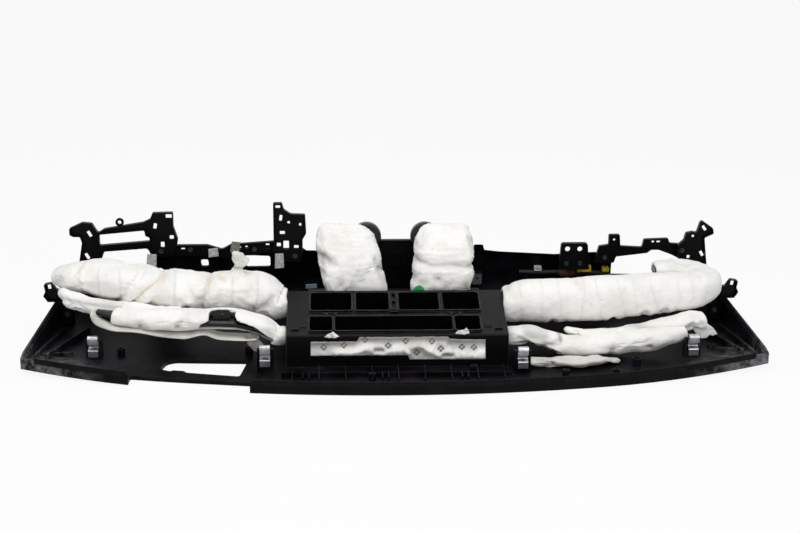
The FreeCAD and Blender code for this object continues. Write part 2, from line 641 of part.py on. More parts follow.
def build_ducts():
    """Six ducts with their sleeves, and the loose folds pressed between them."""
    pitch = GATHER_PITCH / 2
    runs = [("driver_side", DRIVER_SIDE, BACK), ("driver_demister", DRIVER_DEMISTER, BACK),
            ("passenger_side", passenger_side_path(), None),
            ("passenger_demister", PASSENGER_DEMISTER, BACK)]
    room = {}
    for name, path, side in runs:
        sleeve, duct = duct_pair(path, side, pitch)
        parts[name + "_sleeve"] = sleeve
        parts[name + "_duct"] = duct
        room[name] = tube(along_path(path, pitch), side, FIT, 0, FIT)
    for name, side in (("centre_left", -1), ("centre_right", 1)):
        sleeve, duct = duct_pair(centre_path(side), RIGHT, CENTRE_PITCH, 3.4)
        parts[name + "_sleeve"] = sleeve
        parts[name + "_duct"] = duct

    # The driver's demister sleeve is cut open round the duct's mounting ear.
    ear = front_plate([(-370, 88), (-332, 88), (-336, 112, 5), (-366, 112, 5)], -92, -88)
    ear = ear.cut(Part.makeCylinder(4, 20, V(-351, -100, 102), BACK))
    hollow = tube(along_path(DRIVER_DEMISTER, pitch), BACK, -FLEECE - FIT - DUCT_WALL)
    parts["driver_demister_duct"] = parts["driver_demister_duct"].fuse(ear.cut(hollow))
    ear_window = front_plate([(-404, 60, 8), (-392, 88, 6), (-376, 94), (-374, 118), (-328, 118),
                              (-322, 98), (-286, 84, 8), (-250, 54, 8), (-262, 40, 8)], -140, -86)
    parts["driver_demister_sleeve"] = parts["driver_demister_sleeve"].cut(ear_window)
    arch = front_plate([(238, 24, 6), (238, 44, 8), (262, 50, 8), (300, 40, 10), (330, 26, 8),
                        (320, 16, 6)], -140, -92)
    parts["passenger_demister_sleeve"] = parts["passenger_demister_sleeve"].cut(arch)

    parts["driver_fleece_band"] = pillow(
        [(-696, -6, 132, 14, 11), (-660, -18, 120, 24, 18), (-600, -28, 110, 26, 18),
         (-520, -34, 102, 24, 15), (-440, -36, 96, 16, 10)], BACK, pitch,
        [room["driver_side"], room["driver_demister"]])
    parts["passenger_fleece_band"] = pillow(
        [(350, -42, 50, 14, 7), (400, -44, 46, 20, 10), (460, -48, 48, 22, 12),
         (520, -50, 58, 26, 15), (580, -50, 68, 28, 18), (636, -44, 68, 26, 18)], BACK, pitch,
        [room["passenger_side"], room["passenger_demister"]])
    flap_z = FLOOR + FIT + 8
    parts["passenger_fleece_flap"] = pillow(
        [(268, -142, flap_z, 18, 8), (306, -146, flap_z, 20, 8), (352, -152, flap_z, 22, 8),
         (400, -143, flap_z, 20, 8), (446, -132, flap_z - 1.5, 12, 6.5)], BACK, pitch,
        [room["passenger_demister"]])
    corner = front_plate([(600, 72, 6), (636, 70, 4), (662, 46, 5), (650, 38, 4), (622, 36, 6)], -62, -58)
    band_room = tube(along_path(
        [(580, -50, 68, 28, 18), (636, -44, 68, 26, 18)], pitch), BACK, FIT, 0, FIT)
    parts["passenger_fleece_corner"] = corner.cut(band_room)


def fleece_edge():
    """The welded edge of the driver's demister sleeve, pressed against it and hanging in waves."""
    top = [(-612, 112, 10), (-600, 92, 14), (-566, 78, 20), (-520, 76, 30), (-470, 66, 30),
           (-420, 62, 20), (-388, 71, 8), (-362, 61, 12), (-318, 57, 20), (-280, 58, 6)]
    bottom = [(x, z - 3.5, *rest) for x, z, *rest in reversed(top)]
    strip = front_plate(top + bottom, -112, -62)
    sleeve_room = tube(along_path(DRIVER_DEMISTER, GATHER_PITCH / 2), BACK, FIT, 0, FIT)
    return max(strip.cut(sleeve_room).Solids, key=lambda solid: solid.Volume)


# Moulded brackets that stand on the fascia.

def driver_frame():
    """Frame round the switch opening: outer bracket, two bars and inner bracket in one piece."""
    outer = [(-676, 66, 3), (-648, 66, 3), (-634, 130, 8), (-625, 154, 4), (-531, 161, 8),
             (-522, 143, 3), (-480, 143, 3), (-467, 169), (-465, 181, 3), (-474, 209),
             (-474, 241, 3), (-518, 240, 3), (-524, 226, 3), (-539, 219, 3), (-623, 205, 6),
             (-637, 196, 4), (-649, 217, 5), (-670, 219, 5), (-698, 206, 4), (-698, 191, 4),
             (-689, 187, 2), (-676, 187, 3), (-672, 174, 6), (-680, 129, 8)]
    window = [(-634, 192, 3), (-537, 201, 3), (-535, 189), (-526, 185, 3), (-526, 177, 3),
              (-634, 168, 3)]
    body = moulding(outer, BRACKET_FRONT, BRACKET_DEPTH, [window])
    lug = Part.makeCylinder(9, BRACKET_WALL + 2, V(-590, BRACKET_BACK - BRACKET_WALL - 2, 218), BACK)
    return drilled(body.fuse(lug), [
        slot(-656, 192, 7, 14, 30), slot(-663, 142, 7, 14, 30), slot(-484, 231, 13, 8),
        slot(-514, 209, 7, 12, -10), slot(-479, 184, 9, 8), slot(-499, 167, 8, 13),
        bore(-590, 218, 4)])


def cluster_rail():
    """Rail over the instrument opening, from the driver's frame to the column bracket."""
    body = moulding([
        (-512, 141, 3), (-512, 156, 3), (-486, 156, 3), (-482, 165, 3), (-403, 165, 10),
        (-371, 155, 12), (-351, 166, 8), (-253, 173, 3), (-253, 148, 3), (-286, 148, 4),
        (-290, 141, 4), (-321, 141, 6), (-358, 136, 10), (-408, 141, 6)], BRACKET_BACK, RAIL_DEPTH)
    return drilled(body, [
        slot(-456, 155, 8, 4), slot(-456, 149, 8, 3), slot(-272, 164, 8, 4), slot(-272, 157, 8, 4),
        slot(-318, 158, 5, 6), slot(-332, 156, 5, 6)])


def column_bracket():
    """Tall bracket beside the steering column, with a hollow-curved shoulder."""
    body = moulding([
        (-258, 130, 3), (-200, 130, 4), (-195, 150), (-195, 179, 4), (-187, 193, 6),
        (-189, 235, 3), (-220, 236, 12), (-235, 246, 10), (-239, 261, 2), (-258, 261, 3)],
        BRACKET_FRONT, BRACKET_DEPTH)
    return drilled(body, [
        slot(-248, 251, 10, 6), slot(-242, 226, 6, 13, -8), bore(-225, 216, 3), slot(-239, 193, 11, 7),
        slot(-247, 166, 9, 8), slot(-231, 165, 12, 19), slot(-209, 161, 10, 7), slot(-200, 211, 5, 6)])


def centre_panel():
    """Display carrier between the two centre ducts."""
    body = moulding([
        (-58, 52, 6), (80, 52, 6), (80, 150, 6), (67, 177, 6), (-46, 177, 6), (-58, 150, 6)],
        BRACKET_FRONT, BRACKET_DEPTH)
    floor_y = BRACKET_BACK - BRACKET_WALL
    bosses = []
    for x, z in ((-20, 168), (-20, 155), (40, 168), (40, 155), (14, 167)):
        post = Part.makeCylinder(4, 7, V(x, floor_y - 6, z), BACK)
        bosses.append(post.cut(Part.makeCylinder(1.8, 5, V(x, floor_y - 6, z), BACK)))
    ring_outer = box(-14, floor_y - 5, 118, 28, floor_y + 1, 146)
    ring_inner = box(-11, floor_y - 6, 121, 25, floor_y + 1, 143)
    bosses.append(ring_outer.cut(ring_inner))
    return body.multiFuse(bosses)


def glovebox_bracket():
    """Flat tab with the two holes that the glovebox hangs from."""
    body = moulding([
        (366, 108, 4), (434, 108, 4), (431, 141), (429, 168, 6), (371, 168, 6), (369, 141)],
        BRACKET_FRONT, BRACKET_DEPTH)
    tab = front_plate([(374, 140), (426, 140), (426, 165), (374, 165)],
                      BRACKET_BACK - BRACKET_WALL - 1, BRACKET_BACK)
    return drilled(body.fuse(tab), [bore(x, GLOVEBOX_HOLE_Z, GLOVEBOX_HOLE_RADIUS) for x in
                                    (GLOVEBOX_X - GLOVEBOX_HOLE_PITCH / 2,
                                     GLOVEBOX_X + GLOVEBOX_HOLE_PITCH / 2)])


def passenger_rail():
    """Rail over the glovebox opening with its two upright tabs."""
    body = moulding([
        (446, 120, 4), (490, 120, 4), (494, 134, 4), (563, 142, 4), (572, 149, 4), (588, 149, 10),
        (617, 138, 6), (636, 128, 4), (650, 128, 4), (650, 161, 4), (612, 164, 4), (608, 175, 3),
        (555, 173, 3), (551, 155, 4), (503, 158, 3), (501, 184, 3), (477, 184, 3), (477, 161, 3),
        (456, 158, 4)], BRACKET_BACK, RAIL_DEPTH)
    return drilled(body, [bore(490, 171, 2.5), slot(588, 166, 8, 4), slot(576, 166, 6, 4)])


def passenger_end_bracket():
    """Bracket at the passenger's end, with a slanted arm at its top."""
    body = moulding([
        (642, 68, 3), (670, 68, 3), (695, 110, 8), (690, 147), (686, 179, 5), (706, 188, 3),
        (704, 200, 4), (680, 217, 3), (675, 214, 3), (668, 190, 4), (660, 193, 3), (645, 190, 4),
        (641, 174, 4), (628, 162, 3), (628, 134, 3), (643, 124, 3), (646, 96, 6)],
        BRACKET_FRONT, BRACKET_DEPTH)
    return drilled(body, [slot(686, 199, 6, 13, 35), slot(683, 141, 6, 13, 30),
                          slot(654, 134, 7, 7), bore(662, 181, 3)])


def end_bracket(side):
    """Bracket at an end of the pad that hooks over the side's rim."""
    reach = 743
    body = moulding([
        (side * 684, 24, 3), (side * 706, 24, 3), (side * 706, 71, 2), (side * 734, 71, 4),
        (side * reach, 84, 4), (side * 738, 94, 3), (side * 741, 110, 4), (side * 724, 113, 4),
        (side * 714, 98, 4), (side * 684, 96, 5)], END_BRACKET_FRONT, BRACKET_DEPTH)
    cutter = slot(side * 730, 103, 7, 11, -10 * side)
    cutter.translate(V(0, END_BRACKET_FRONT - BRACKET_FRONT, 0))
    return body.cut(cutter)


# Fasteners and small parts.

def screw_places():
    """Each bracket screw: x, z, face that its flange rests on."""
    bracket_floor = BRACKET_BACK - BRACKET_WALL
    rail_floor = RAIL_BACK - BRACKET_WALL
    end_floor = END_BRACKET_FRONT + BRACKET_DEPTH - BRACKET_WALL
    return [
        (-662, 82, bracket_floor), (-503, 152, bracket_floor), (-440, 153, rail_floor),
        (-301, 153, rail_floor), (-244, 140, bracket_floor), (-212, 140, bracket_floor),
        (-40, 152, bracket_floor), (64, 152, bracket_floor), (384, 120, bracket_floor),
        (414, 120, bracket_floor), (470, 130, rail_floor), (656, 84, bracket_floor),
        (639, 148, bracket_floor), (-695, 42, end_floor), (695, 42, end_floor)]


def screws():
    """Flanged hexagon screws, one solid each, in one group."""
    group = []
    for x, z, face in screw_places():
        flange = Part.makeCylinder(SCREW_FLANGE, SCREW_FLANGE_HEIGHT, V(x, face, z), V(0, -1, 0))
        corners = [(SCREW_HEAD / math.sqrt(3) * math.cos(math.radians(60 * i)),
                    SCREW_HEAD / math.sqrt(3) * math.sin(math.radians(60 * i))) for i in range(6)]
        head = outline(corners, lambda a, b: V(x + a, face, z + b))
        head = head.extrude(V(0, -SCREW_FLANGE_HEIGHT - SCREW_HEAD_HEIGHT, 0))
        shank = Part.makeCylinder(SCREW_SHANK, SCREW_LENGTH, V(x, face - 1, z), BACK)
        group.append(flange.multiFuse([head, shank]).removeSplitter())
    return Part.Compound(group)


def screw_holes():
    """Clearance holes through the brackets and into their seats."""
    return Part.Compound([
        Part.makeCylinder(SCREW_SHANK + FIT, SCREW_LENGTH + 2, V(x, face - 2, z), BACK)
        for x, z, face in screw_places()])


def bent_strip(line, thickness):
    """Corners of a strip bent along a line of (a, b, inner bend radius), as one closed outline."""
    left = []
    right = []
    points = [V(a, b, 0) for a, b, bend in line]
    last = len(points) - 1
    for i, here in enumerate(points):
        into = here - points[i - 1] if i > 0 else points[1] - here
        out = points[i + 1] - here if i < last else into
        into.normalize()
        out.normalize()
        normal_in = V(-into.y, into.x, 0)
        normal_out = V(-out.y, out.x, 0)
        mitre = normal_in + normal_out
        mitre.normalize()
        reach = thickness / 2 / mitre.dot(normal_in)
        turn = into.x * out.y - into.y * out.x
        bend = line[i][2]
        wide = bend + thickness if bend else 0
        left_radius = bend if turn > 0 else wide
        right_radius = wide if turn > 0 else bend
        spot = here + mitre * reach
        left.append((spot.x, spot.y, left_radius))
        spot = here - mitre * reach
        right.append((spot.x, spot.y, right_radius))
    return left + right[::-1]


def pad_clips():
    """Spring clips bent from strip: a tab in front, a grip in the tower and a loop on top."""
    group = []
    for x, y in clip_places():
        back = y + CLIP_STRIP / 2
        top = FLOOR + TOWER_HEIGHT + 10
        line = [(y - 9, FLOOR + 12, 0), (y - 9, FLOOR + 25, 1.5), (back, FLOOR + 29, 1.5),
                (back, top, 5), (back - 13, top, 5), (back - 13, top - 15, 0)]
        group.append(side_prism(bent_strip(line, CLIP_STRIP), x - CLIP_WIDTH / 2, x + CLIP_WIDTH / 2))
    return Part.Compound(group)


def felt_tags():
    """Anti-rattle felts stuck to the brackets' front faces."""
    on_bracket = BRACKET_FRONT - FIT
    on_rail = BRACKET_BACK - FIT
    on_pad = STEEL_CLIP_Y - FIT
    tags = [(-523, 134, 22, 30, on_bracket, 4), (-390, 148, 22, 20, on_rail, -4),
            (-342, 160, 20, 26, on_rail, 8), (-246, 132, 20, 34, on_bracket, 0),
            (-178, 60, 26, 11, on_pad, 0)]
    group = []
    for x, z, width, height, face, turn in tags:
        tag = box(-width / 2, face - FELT, -height / 2, width / 2, face, height / 2)
        tag.rotate(ORIGIN, BACK, turn)
        tag.translate(V(x, 0, z))
        group.append(tag)
    return Part.Compound(group)


def steel_clip():
    """Small sheet-metal clip on its pad behind the passenger's centre duct."""
    plate = front_plate([(181, 62, 2), (201, 62, 2), (201, 86, 2), (181, 86, 2)],
                        STEEL_CLIP_Y - 1.5, STEEL_CLIP_Y)
    lip = box(181, STEEL_CLIP_Y - 5, 85, 201, STEEL_CLIP_Y, 86.5)
    return plate.fuse(lip).cut(bore(191, 76, 2.5)).removeSplitter()


def green_clip():
    """Plastic marker clip between the manifold's step and the passenger's centre duct."""
    y = MANIFOLD_FAR + 3 + FIT
    return front_plate([(39, NECK_HEIGHT + FIT), (63, NECK_HEIGHT + FIT), (63, 114, 8), (51, 122, 8),
                        (39, 114, 8)], y, y + 3)


def fascia_inner_y(x, z):
    """Inner face of the carrier's wall, at a place above the roll."""
    lean = math.radians(FASCIA_LEAN)
    start_y = REAR_Y - ROLL_RADIUS + ROLL_RADIUS * math.cos(lean)
    start_z = ROLL_RADIUS - ROLL_SINK + ROLL_RADIUS * math.sin(lean)
    flat_y = start_y - (z - start_z) * math.tan(lean) - FLOOR / math.cos(lean)
    return flat_y - x ** 2 / (2 * REAR_RADIUS)


def loom(points, radius):
    """Round tube along straight runs joined by tangent arcs, as large as the runs allow."""
    corners = [V(*point) for point in points]
    edges = []
    start = corners[0]
    for i in range(1, len(corners) - 1):
        to_before = corners[i - 1] - corners[i]
        to_after = corners[i + 1] - corners[i]
        half = to_before.getAngle(to_after) / 2
        reach = 0.45 * min(to_before.Length, to_after.Length)
        to_before.normalize()
        to_after.normalize()
        inward = to_before + to_after
        inward.normalize()
        arc_radius = reach * math.tan(half)
        middle = corners[i] + inward * (arc_radius / math.sin(half) - arc_radius)
        arc_start = corners[i] + to_before * reach
        arc_end = corners[i] + to_after * reach
        edges.append(Part.makeLine(start, arc_start))
        edges.append(Part.Arc(arc_start, middle, arc_end).toShape())
        start = arc_end
    edges.append(Part.makeLine(start, corners[-1]))
    along = corners[1] - corners[0]
    profile = Part.Wire(Part.makeCircle(radius, corners[0], along))
    return Part.Wire(edges).makePipeShell([profile], True, False)


def loom_route():
    """The wiring follows the carrier's wall, a tape's thickness off it, and bows out a little."""
    gap = (LOOM_RADIUS + TAPE) / math.cos(math.radians(FASCIA_LEAN)) + FIT
    return [V(x, fascia_inner_y(x, LOOM_HEIGHT) - gap - bow, LOOM_HEIGHT) for x, bow in (
        (286, 0), (322, 5), (362, 1), (406, 3), (448, 0), (486, 2))]


def loom_saddles():
    """Ledges on the carrier's wall that the wiring lies on."""
    top = LOOM_HEIGHT - LOOM_RADIUS - FIT
    return [box(x - 4, fascia_inner_y(x, LOOM_HEIGHT) - 20, top - 4, x + 4, REAR_Y, top)
            for x in (300, 456)]


def harness():
    """Wiring loom with its cloth tape and the plugs that rest on it."""
    route = loom_route()
    parts["wire_harness"] = loom(route, LOOM_RADIUS)
    along = route[3] - route[2]
    along.normalize()
    start = route[2] + along * 11
    tape = Part.makeCylinder(LOOM_RADIUS + TAPE, 22, start, along)
    parts["harness_tape"] = tape.cut(Part.makeCylinder(LOOM_RADIUS + FIT, 30, start - along * 3, along))
    low = LOOM_HEIGHT + LOOM_RADIUS + FIT
    plugs = []
    for x, width, height in ((428, 30, 12), (476, 14, 9), (326, 16, 9)):
        back = fascia_inner_y(abs(x) + width, low + height) - FIT
        plug = box(x - width / 2, back - PLUG_DEPTH, low, x + width / 2, back, low + height)
        socket = box(x - width / 2 + 2, back - PLUG_DEPTH - 1, low + 2,
                     x + width / 2 - 2, back - PLUG_DEPTH + 5, low + height - 2)
        plugs.append(plug.cut(socket))
    parts["yellow_plugs"] = Part.Compound(plugs[:2])
    parts["white_plug"] = plugs[2]


def save():
    for name, shape in parts.items():
        shape.exportStep("parts/" + name + ".step")
        size = shape.BoundBox
        corners = (size.XMin, size.YMin, size.ZMin, size.XMax, size.YMax, size.ZMax)
        print(name, len(shape.Solids), shape.isValid(), round(shape.Volume / 1000),
              [round(value) for value in corners])


os.makedirs("parts", exist_ok=True)
holes = screw_holes()
parts["top_pad"] = top_pad()
parts["carrier"] = carrier().cut(holes)
parts["windshield_trim_left"] = edge_trim(-TRIM_END, NOTCH_LEFT - 4)
parts["windshield_trim_right"] = edge_trim(NOTCH_RIGHT + 4, TRIM_END)
parts["air_manifold"] = air_manifold()
parts["insulation_strip"] = insulation_strip()
build_ducts()
parts["driver_fleece_edge"] = fleece_edge()
parts["driver_frame"] = driver_frame().cut(holes)
parts["cluster_rail"] = cluster_rail().cut(holes)
parts["column_bracket"] = column_bracket().cut(holes)
parts["centre_panel"] = centre_panel().cut(holes)
parts["glovebox_bracket"] = glovebox_bracket().cut(holes)
parts["passenger_rail"] = passenger_rail().cut(holes)
parts["passenger_end_bracket"] = passenger_end_bracket().cut(holes)
parts["end_bracket_left"] = end_bracket(-1).cut(holes)
parts["end_bracket_right"] = end_bracket(1).cut(holes)
parts["bracket_screws"] = screws()
parts["pad_clips"] = pad_clips()
parts["felt_tags"] = felt_tags()
parts["steel_clip"] = steel_clip()
parts["green_clip"] = green_clip()
harness()
save()
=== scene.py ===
# %% [markdown]
# # A car dashboard assembly, stripped for fitting
# The real object is the upper half of a car's dashboard, seen from the windshield side: a black
# moulded carrier and pad, blown air ducts wrapped in white fleece, brackets, clips and a harness.
# The solids come from the CAD source and stay the frame of everything here. Blender adds what a
# solid can't show: soft fleece, grained plastic, wear and dirt, painted shade in the fleece's folds
# and a painted highlight on the manifold's edges.

# %% Loading the frame
import math

import bmesh
import bpy
import numpy as np
from mathutils import Matrix, Vector, noise
from mathutils.bvhtree import BVHTree


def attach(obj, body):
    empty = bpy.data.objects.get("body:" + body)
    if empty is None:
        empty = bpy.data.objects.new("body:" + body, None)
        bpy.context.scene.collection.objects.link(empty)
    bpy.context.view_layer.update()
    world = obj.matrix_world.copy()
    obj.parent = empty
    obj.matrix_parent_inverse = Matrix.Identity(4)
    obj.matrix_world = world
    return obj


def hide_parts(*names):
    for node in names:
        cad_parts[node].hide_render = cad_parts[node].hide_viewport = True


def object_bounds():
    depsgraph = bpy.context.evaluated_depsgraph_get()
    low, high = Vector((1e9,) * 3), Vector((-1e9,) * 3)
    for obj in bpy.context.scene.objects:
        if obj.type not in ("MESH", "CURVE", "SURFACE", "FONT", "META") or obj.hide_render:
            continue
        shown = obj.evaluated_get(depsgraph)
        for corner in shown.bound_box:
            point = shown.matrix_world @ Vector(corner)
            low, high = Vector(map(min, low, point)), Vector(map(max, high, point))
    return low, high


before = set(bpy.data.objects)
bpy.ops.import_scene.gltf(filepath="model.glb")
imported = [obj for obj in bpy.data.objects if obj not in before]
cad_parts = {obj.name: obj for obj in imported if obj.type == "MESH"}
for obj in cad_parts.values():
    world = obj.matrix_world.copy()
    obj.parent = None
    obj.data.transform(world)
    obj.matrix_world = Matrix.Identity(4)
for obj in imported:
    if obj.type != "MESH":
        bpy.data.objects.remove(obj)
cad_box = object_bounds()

scene = bpy.context.scene
MM = 0.001
print("nodes from CAD:", len(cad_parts))

# %% [markdown]
# ## The camera
# The photograph was taken from the front, a little above, with a long lens from about three
# metres away. The camera could be turned by hand until it looks right. Here its place and its
# three directions were solved from points that the CAD and the photograph share, so each piece
# lands on its own pixels.

# %% Camera
EYE = Vector((-0.1134735, -3.1744555, 1.0740638))
EYE_RIGHT = Vector((0.99929245, -0.03727625, 0.00500828))
EYE_UP = Vector((0.00533595, 0.27232079, 0.96219172))
EYE_FORWARD = Vector((0.03723076, 0.9614842, -0.27232701))

lens = bpy.data.cameras.new("camera")
lens.lens = 72.19
lens.sensor_width = 36
camera = bpy.data.objects.new("camera", lens)
scene.collection.objects.link(camera)
turn = Matrix((EYE_RIGHT, EYE_UP, -EYE_FORWARD)).transposed().to_4x4()
camera.matrix_world = Matrix.Translation(EYE) @ turn
scene.camera = camera
print("camera", round(EYE.length, 2), "m from the origin")

# %% [markdown]
# ## Materials
# Every finish is a small net of nodes. A picture could be wrapped round each piece instead, but
# nodes need no file, don't stretch, and keep their scale in millimetres: a noise of scale
# 1 / size gives spots about that size.

# %% Helpers for materials
def linear(code):
    """The linear colour of an sRGB hex value."""
    parts = [int(code[i:i + 2], 16) / 255 for i in (1, 3, 5)]
    return [c / 12.92 if c <= 0.04045 else ((c + 0.055) / 1.055) ** 2.4 for c in parts] + [1.0]


def add(tree, kind, settings=None, inputs=None):
    """One node with its settings and its inputs; an input that is a socket is linked."""
    node = tree.nodes.new(kind)
    for key, value in (settings or {}).items():
        setattr(node, key, value)
    for key, value in (inputs or {}).items():
        if isinstance(value, bpy.types.NodeSocket):
            tree.links.new(value, node.inputs[key])
        else:
            node.inputs[key].default_value = value
    return node


def started(name):
    """A material with an empty Principled shader, and what the nodes need."""
    material = bpy.data.materials.new(name)
    material.use_nodes = True
    tree = material.node_tree
    shader = tree.nodes["Principled BSDF"]
    place = add(tree, "ShaderNodeTexCoord").outputs["Object"]
    return material, tree, shader, place


def spots(tree, place, size_mm, detail=3.0, roughness=0.5):
    """A noise whose spots are about that many millimetres across."""
    return add(tree, "ShaderNodeTexNoise", None, {
        "Vector": place, "Scale": 1000 / size_mm, "Detail": detail, "Roughness": roughness})


def between(tree, amount, low, high, first, second):
    """A colour from first to second as the amount goes from low to high."""
    share = add(tree, "ShaderNodeMapRange", None, {
        "Value": amount, "From Min": low, "From Max": high})
    return add(tree, "ShaderNodeMix", {"data_type": "RGBA"}, {
        0: share.outputs[0], 6: first, 7: second}).outputs[2]


def level(tree, amount, low, high, first, second):
    """A number from first to second as the amount goes from low to high."""
    return add(tree, "ShaderNodeMapRange", None, {
        "Value": amount, "From Min": low, "From Max": high,
        "To Min": first, "To Max": second}).outputs[0]


# %% [markdown]
# ### Black moulded plastic
# The carrier, manifold and brackets are injection-moulded polypropylene: a satin black with a
# fine spark-eroded grain, rubbed paler along its edges and dusty on its flats. On the manifold the
# paler edge is strong enough to be a painted edge highlight as well. The paler edge could be
# painted by hand; the Bevel node finds edges by itself, by how far the normal turns.

# %% Moulded plastic
# Where handling rubs the windshield corners, in metres: outwards along x, and towards -y.
SCUFF_STARTS, SCUFF_FULL = 0.57, 0.70
SCUFF_STARTS_Y, SCUFF_FULL_Y = -0.05, -0.16


def moulded(name, base, dust, edge, rough, grain_mm, grain_depth, shine=0.3, edge_wear_and_highlight=0.35,
            corner_scuff=None):
    """Black injection-moulded plastic with dust, scuffs and worn edges; on the manifold the pale edge
    is also a painted highlight.

    corner_scuff is the colour that both windshield corners are rubbed to."""
    material, tree, shader, place = started(name)
    cloud = spots(tree, place, 60, 4).outputs[0]
    streak_place = add(tree, "ShaderNodeMapping", None, {"Vector": place, "Scale": (1, 5, 9)})
    scuff = spots(tree, streak_place.outputs[0], 18, 5, 0.65).outputs[0]
    colour = between(tree, cloud, 0.42, 0.72, linear(base), linear(dust))
    rounded = add(tree, "ShaderNodeBevel", {"samples": 4}, {"Radius": 1.2 * MM})
    normal = add(tree, "ShaderNodeNewGeometry").outputs["Normal"]
    turned = add(tree, "ShaderNodeVectorMath", {"operation": "DOT_PRODUCT"}, {
        0: rounded.outputs[0], 1: normal}).outputs["Value"]
    # The pale edge is edge wear, and on the manifold also a painted highlight.
    edge_wear_and_highlight_mask = level(tree, turned, 0.98, 0.80, 0.0, edge_wear_and_highlight)
    broken_edge_wear_and_highlight = add(tree, "ShaderNodeMath", {"operation": "MULTIPLY"}, {
        0: edge_wear_and_highlight_mask, 1: level(tree, scuff, 0.35, 0.65, 0.2, 1.0)}).outputs[0]
    colour = between(tree, broken_edge_wear_and_highlight, 0.0, 1.0, colour, linear(edge))
    if corner_scuff:
        axes = add(tree, "ShaderNodeSeparateXYZ", None, {0: place}).outputs
        outward = add(tree, "ShaderNodeMath", {"operation": "ABSOLUTE"}, {0: axes[0]}).outputs[0]
        corner = add(tree, "ShaderNodeMath", {"operation": "MULTIPLY"}, {
            0: level(tree, outward, SCUFF_STARTS, SCUFF_FULL, 0.0, 1.0),
            1: level(tree, axes[1], SCUFF_STARTS_Y, SCUFF_FULL_Y, 0.0, 1.0)}).outputs[0]
        rubs = add(tree, "ShaderNodeMapping", None, {
            "Vector": place, "Scale": (1, 2.2, 1), "Rotation": (0, 0, 0.5)})
        scrape = level(tree, spots(tree, rubs.outputs[0], 26, 6, 0.7).outputs[0],
                       0.40, 0.62, 0.0, 0.9)
        corner = add(tree, "ShaderNodeMath", {"operation": "MULTIPLY"}, {0: corner, 1: scrape})
        colour = between(tree, corner.outputs[0], 0.0, 1.0, colour, linear(corner_scuff))
    grain = spots(tree, place, grain_mm, 2).outputs[0]
    bump = add(tree, "ShaderNodeBump", None, {
        "Height": grain, "Strength": 0.35, "Distance": grain_depth * MM})
    tree.links.new(colour, shader.inputs["Base Color"])
    tree.links.new(level(tree, scuff, 0.35, 0.7, rough, rough - 0.12), shader.inputs["Roughness"])
    tree.links.new(bump.outputs[0], shader.inputs["Normal"])
    shader.inputs["Specular IOR Level"].default_value = shine
    return material


carrier_black = moulded("moulded_pp_carrier", "#060507", "#1A161D", "#3A393D", 0.50, 2.2, 0.25,
                        0.07, 0.35, "#7C7A7E")
# The manifold's pale edge, #8A8A8C at 0.9, is edge wear together with a painted edge highlight.
manifold_black = moulded("moulded_pp_manifold", "#050505", "#0B0B0D", "#8A8A8C", 0.44, 2.2, 0.2,
                         0.10, 0.9)
bracket_black = moulded("moulded_pa_brackets", "#040405", "#0A0A0B", "#2E2E31", 0.46, 1.8, 0.2,
                        0.1)
duct_black = moulded("blown_pe_ducts", "#060607", "#131213", "#2E2E30", 0.36, 5.0, 0.3, 0.3)
pad_black = moulded("slush_moulded_pad_skin", "#050506", "#0F0F11", "#333336", 0.55, 1.6, 0.5,
                    0.08, 0.35, "#7C7A7E")
blacks = (carrier_black, manifold_black, bracket_black, duct_black, pad_black)
print("black finishes:", [finish.name for finish in blacks])

# %% [markdown]
# ### White fleece
# The wraps are needled polyester fleece: bright white, no shine, a nap of loose fibres that
# catches light at its edge. Handling has left grey smudges, and old adhesive has left
# orange-brown marks. A grey layer also paints shade into the creases, dimples and ties and along
# lower edges. A colour alone looks like plaster, so the nap is a bump of two sizes, and the marks
# are numbers kept on the mesh, where each one was put.

# %% Fleece
def fleece_finish(name, white, shade, sheen=0.3, depth=1.0):
    """Needled fleece with smudges, painted crease shade and stains read from the mesh, and a fibre
    nap.
    """
    material, tree, shader, place = started(name)
    cloud = spots(tree, place, 55, 3).outputs[0]
    colour = between(tree, cloud, 0.45, 0.75, linear(white), linear(shade))
    flecks = spots(tree, place, 7, 3, 0.7).outputs[0]
    colour = between(tree, flecks, 0.62, 0.85, colour, linear("#B9B5AB"))
    # The grey layer read from the mesh is painted shade in creases, dimples and along lower edges,
    # with some dirt; #57534C is its darkest.
    dirt_and_shade = add(tree, "ShaderNodeAttribute", {"attribute_name": "dirt_and_shade"}).outputs["Fac"]
    colour = between(tree, dirt_and_shade, 0.0, 1.0, colour, linear("#57534C"))
    stain = add(tree, "ShaderNodeAttribute", {"attribute_name": "stain"}).outputs["Fac"]
    patchy = add(tree, "ShaderNodeMath", {"operation": "MULTIPLY"}, {
        0: stain, 1: level(tree, spots(tree, place, 5, 3).outputs[0], 0.3, 0.65, 0.35, 1.0)})
    colour = between(tree, patchy.outputs[0], 0.0, 1.0, colour, linear("#C9A166"))
    # Real fibres are 0.02 mm thick; they are drawn as tufts of 1.4 mm so that they show.
    nap = spots(tree, place, 1.4, 4, 0.7).outputs[0]
    lumps = spots(tree, place, 9, 2).outputs[0]
    soft = add(tree, "ShaderNodeBump", None, {
        "Height": lumps, "Strength": 0.6, "Distance": 2.2 * MM * depth})
    fine = add(tree, "ShaderNodeBump", None, {
        "Height": nap, "Strength": 0.5, "Distance": 0.5 * MM * depth, "Normal": soft.outputs[0]})
    tree.links.new(colour, shader.inputs["Base Color"])
    tree.links.new(fine.outputs[0], shader.inputs["Normal"])
    shader.inputs["Roughness"].default_value = 0.92
    shader.inputs["Specular IOR Level"].default_value = 0.15
    shader.inputs["Sheen Weight"].default_value = sheen
    shader.inputs["Sheen Roughness"].default_value = 0.6
    return material


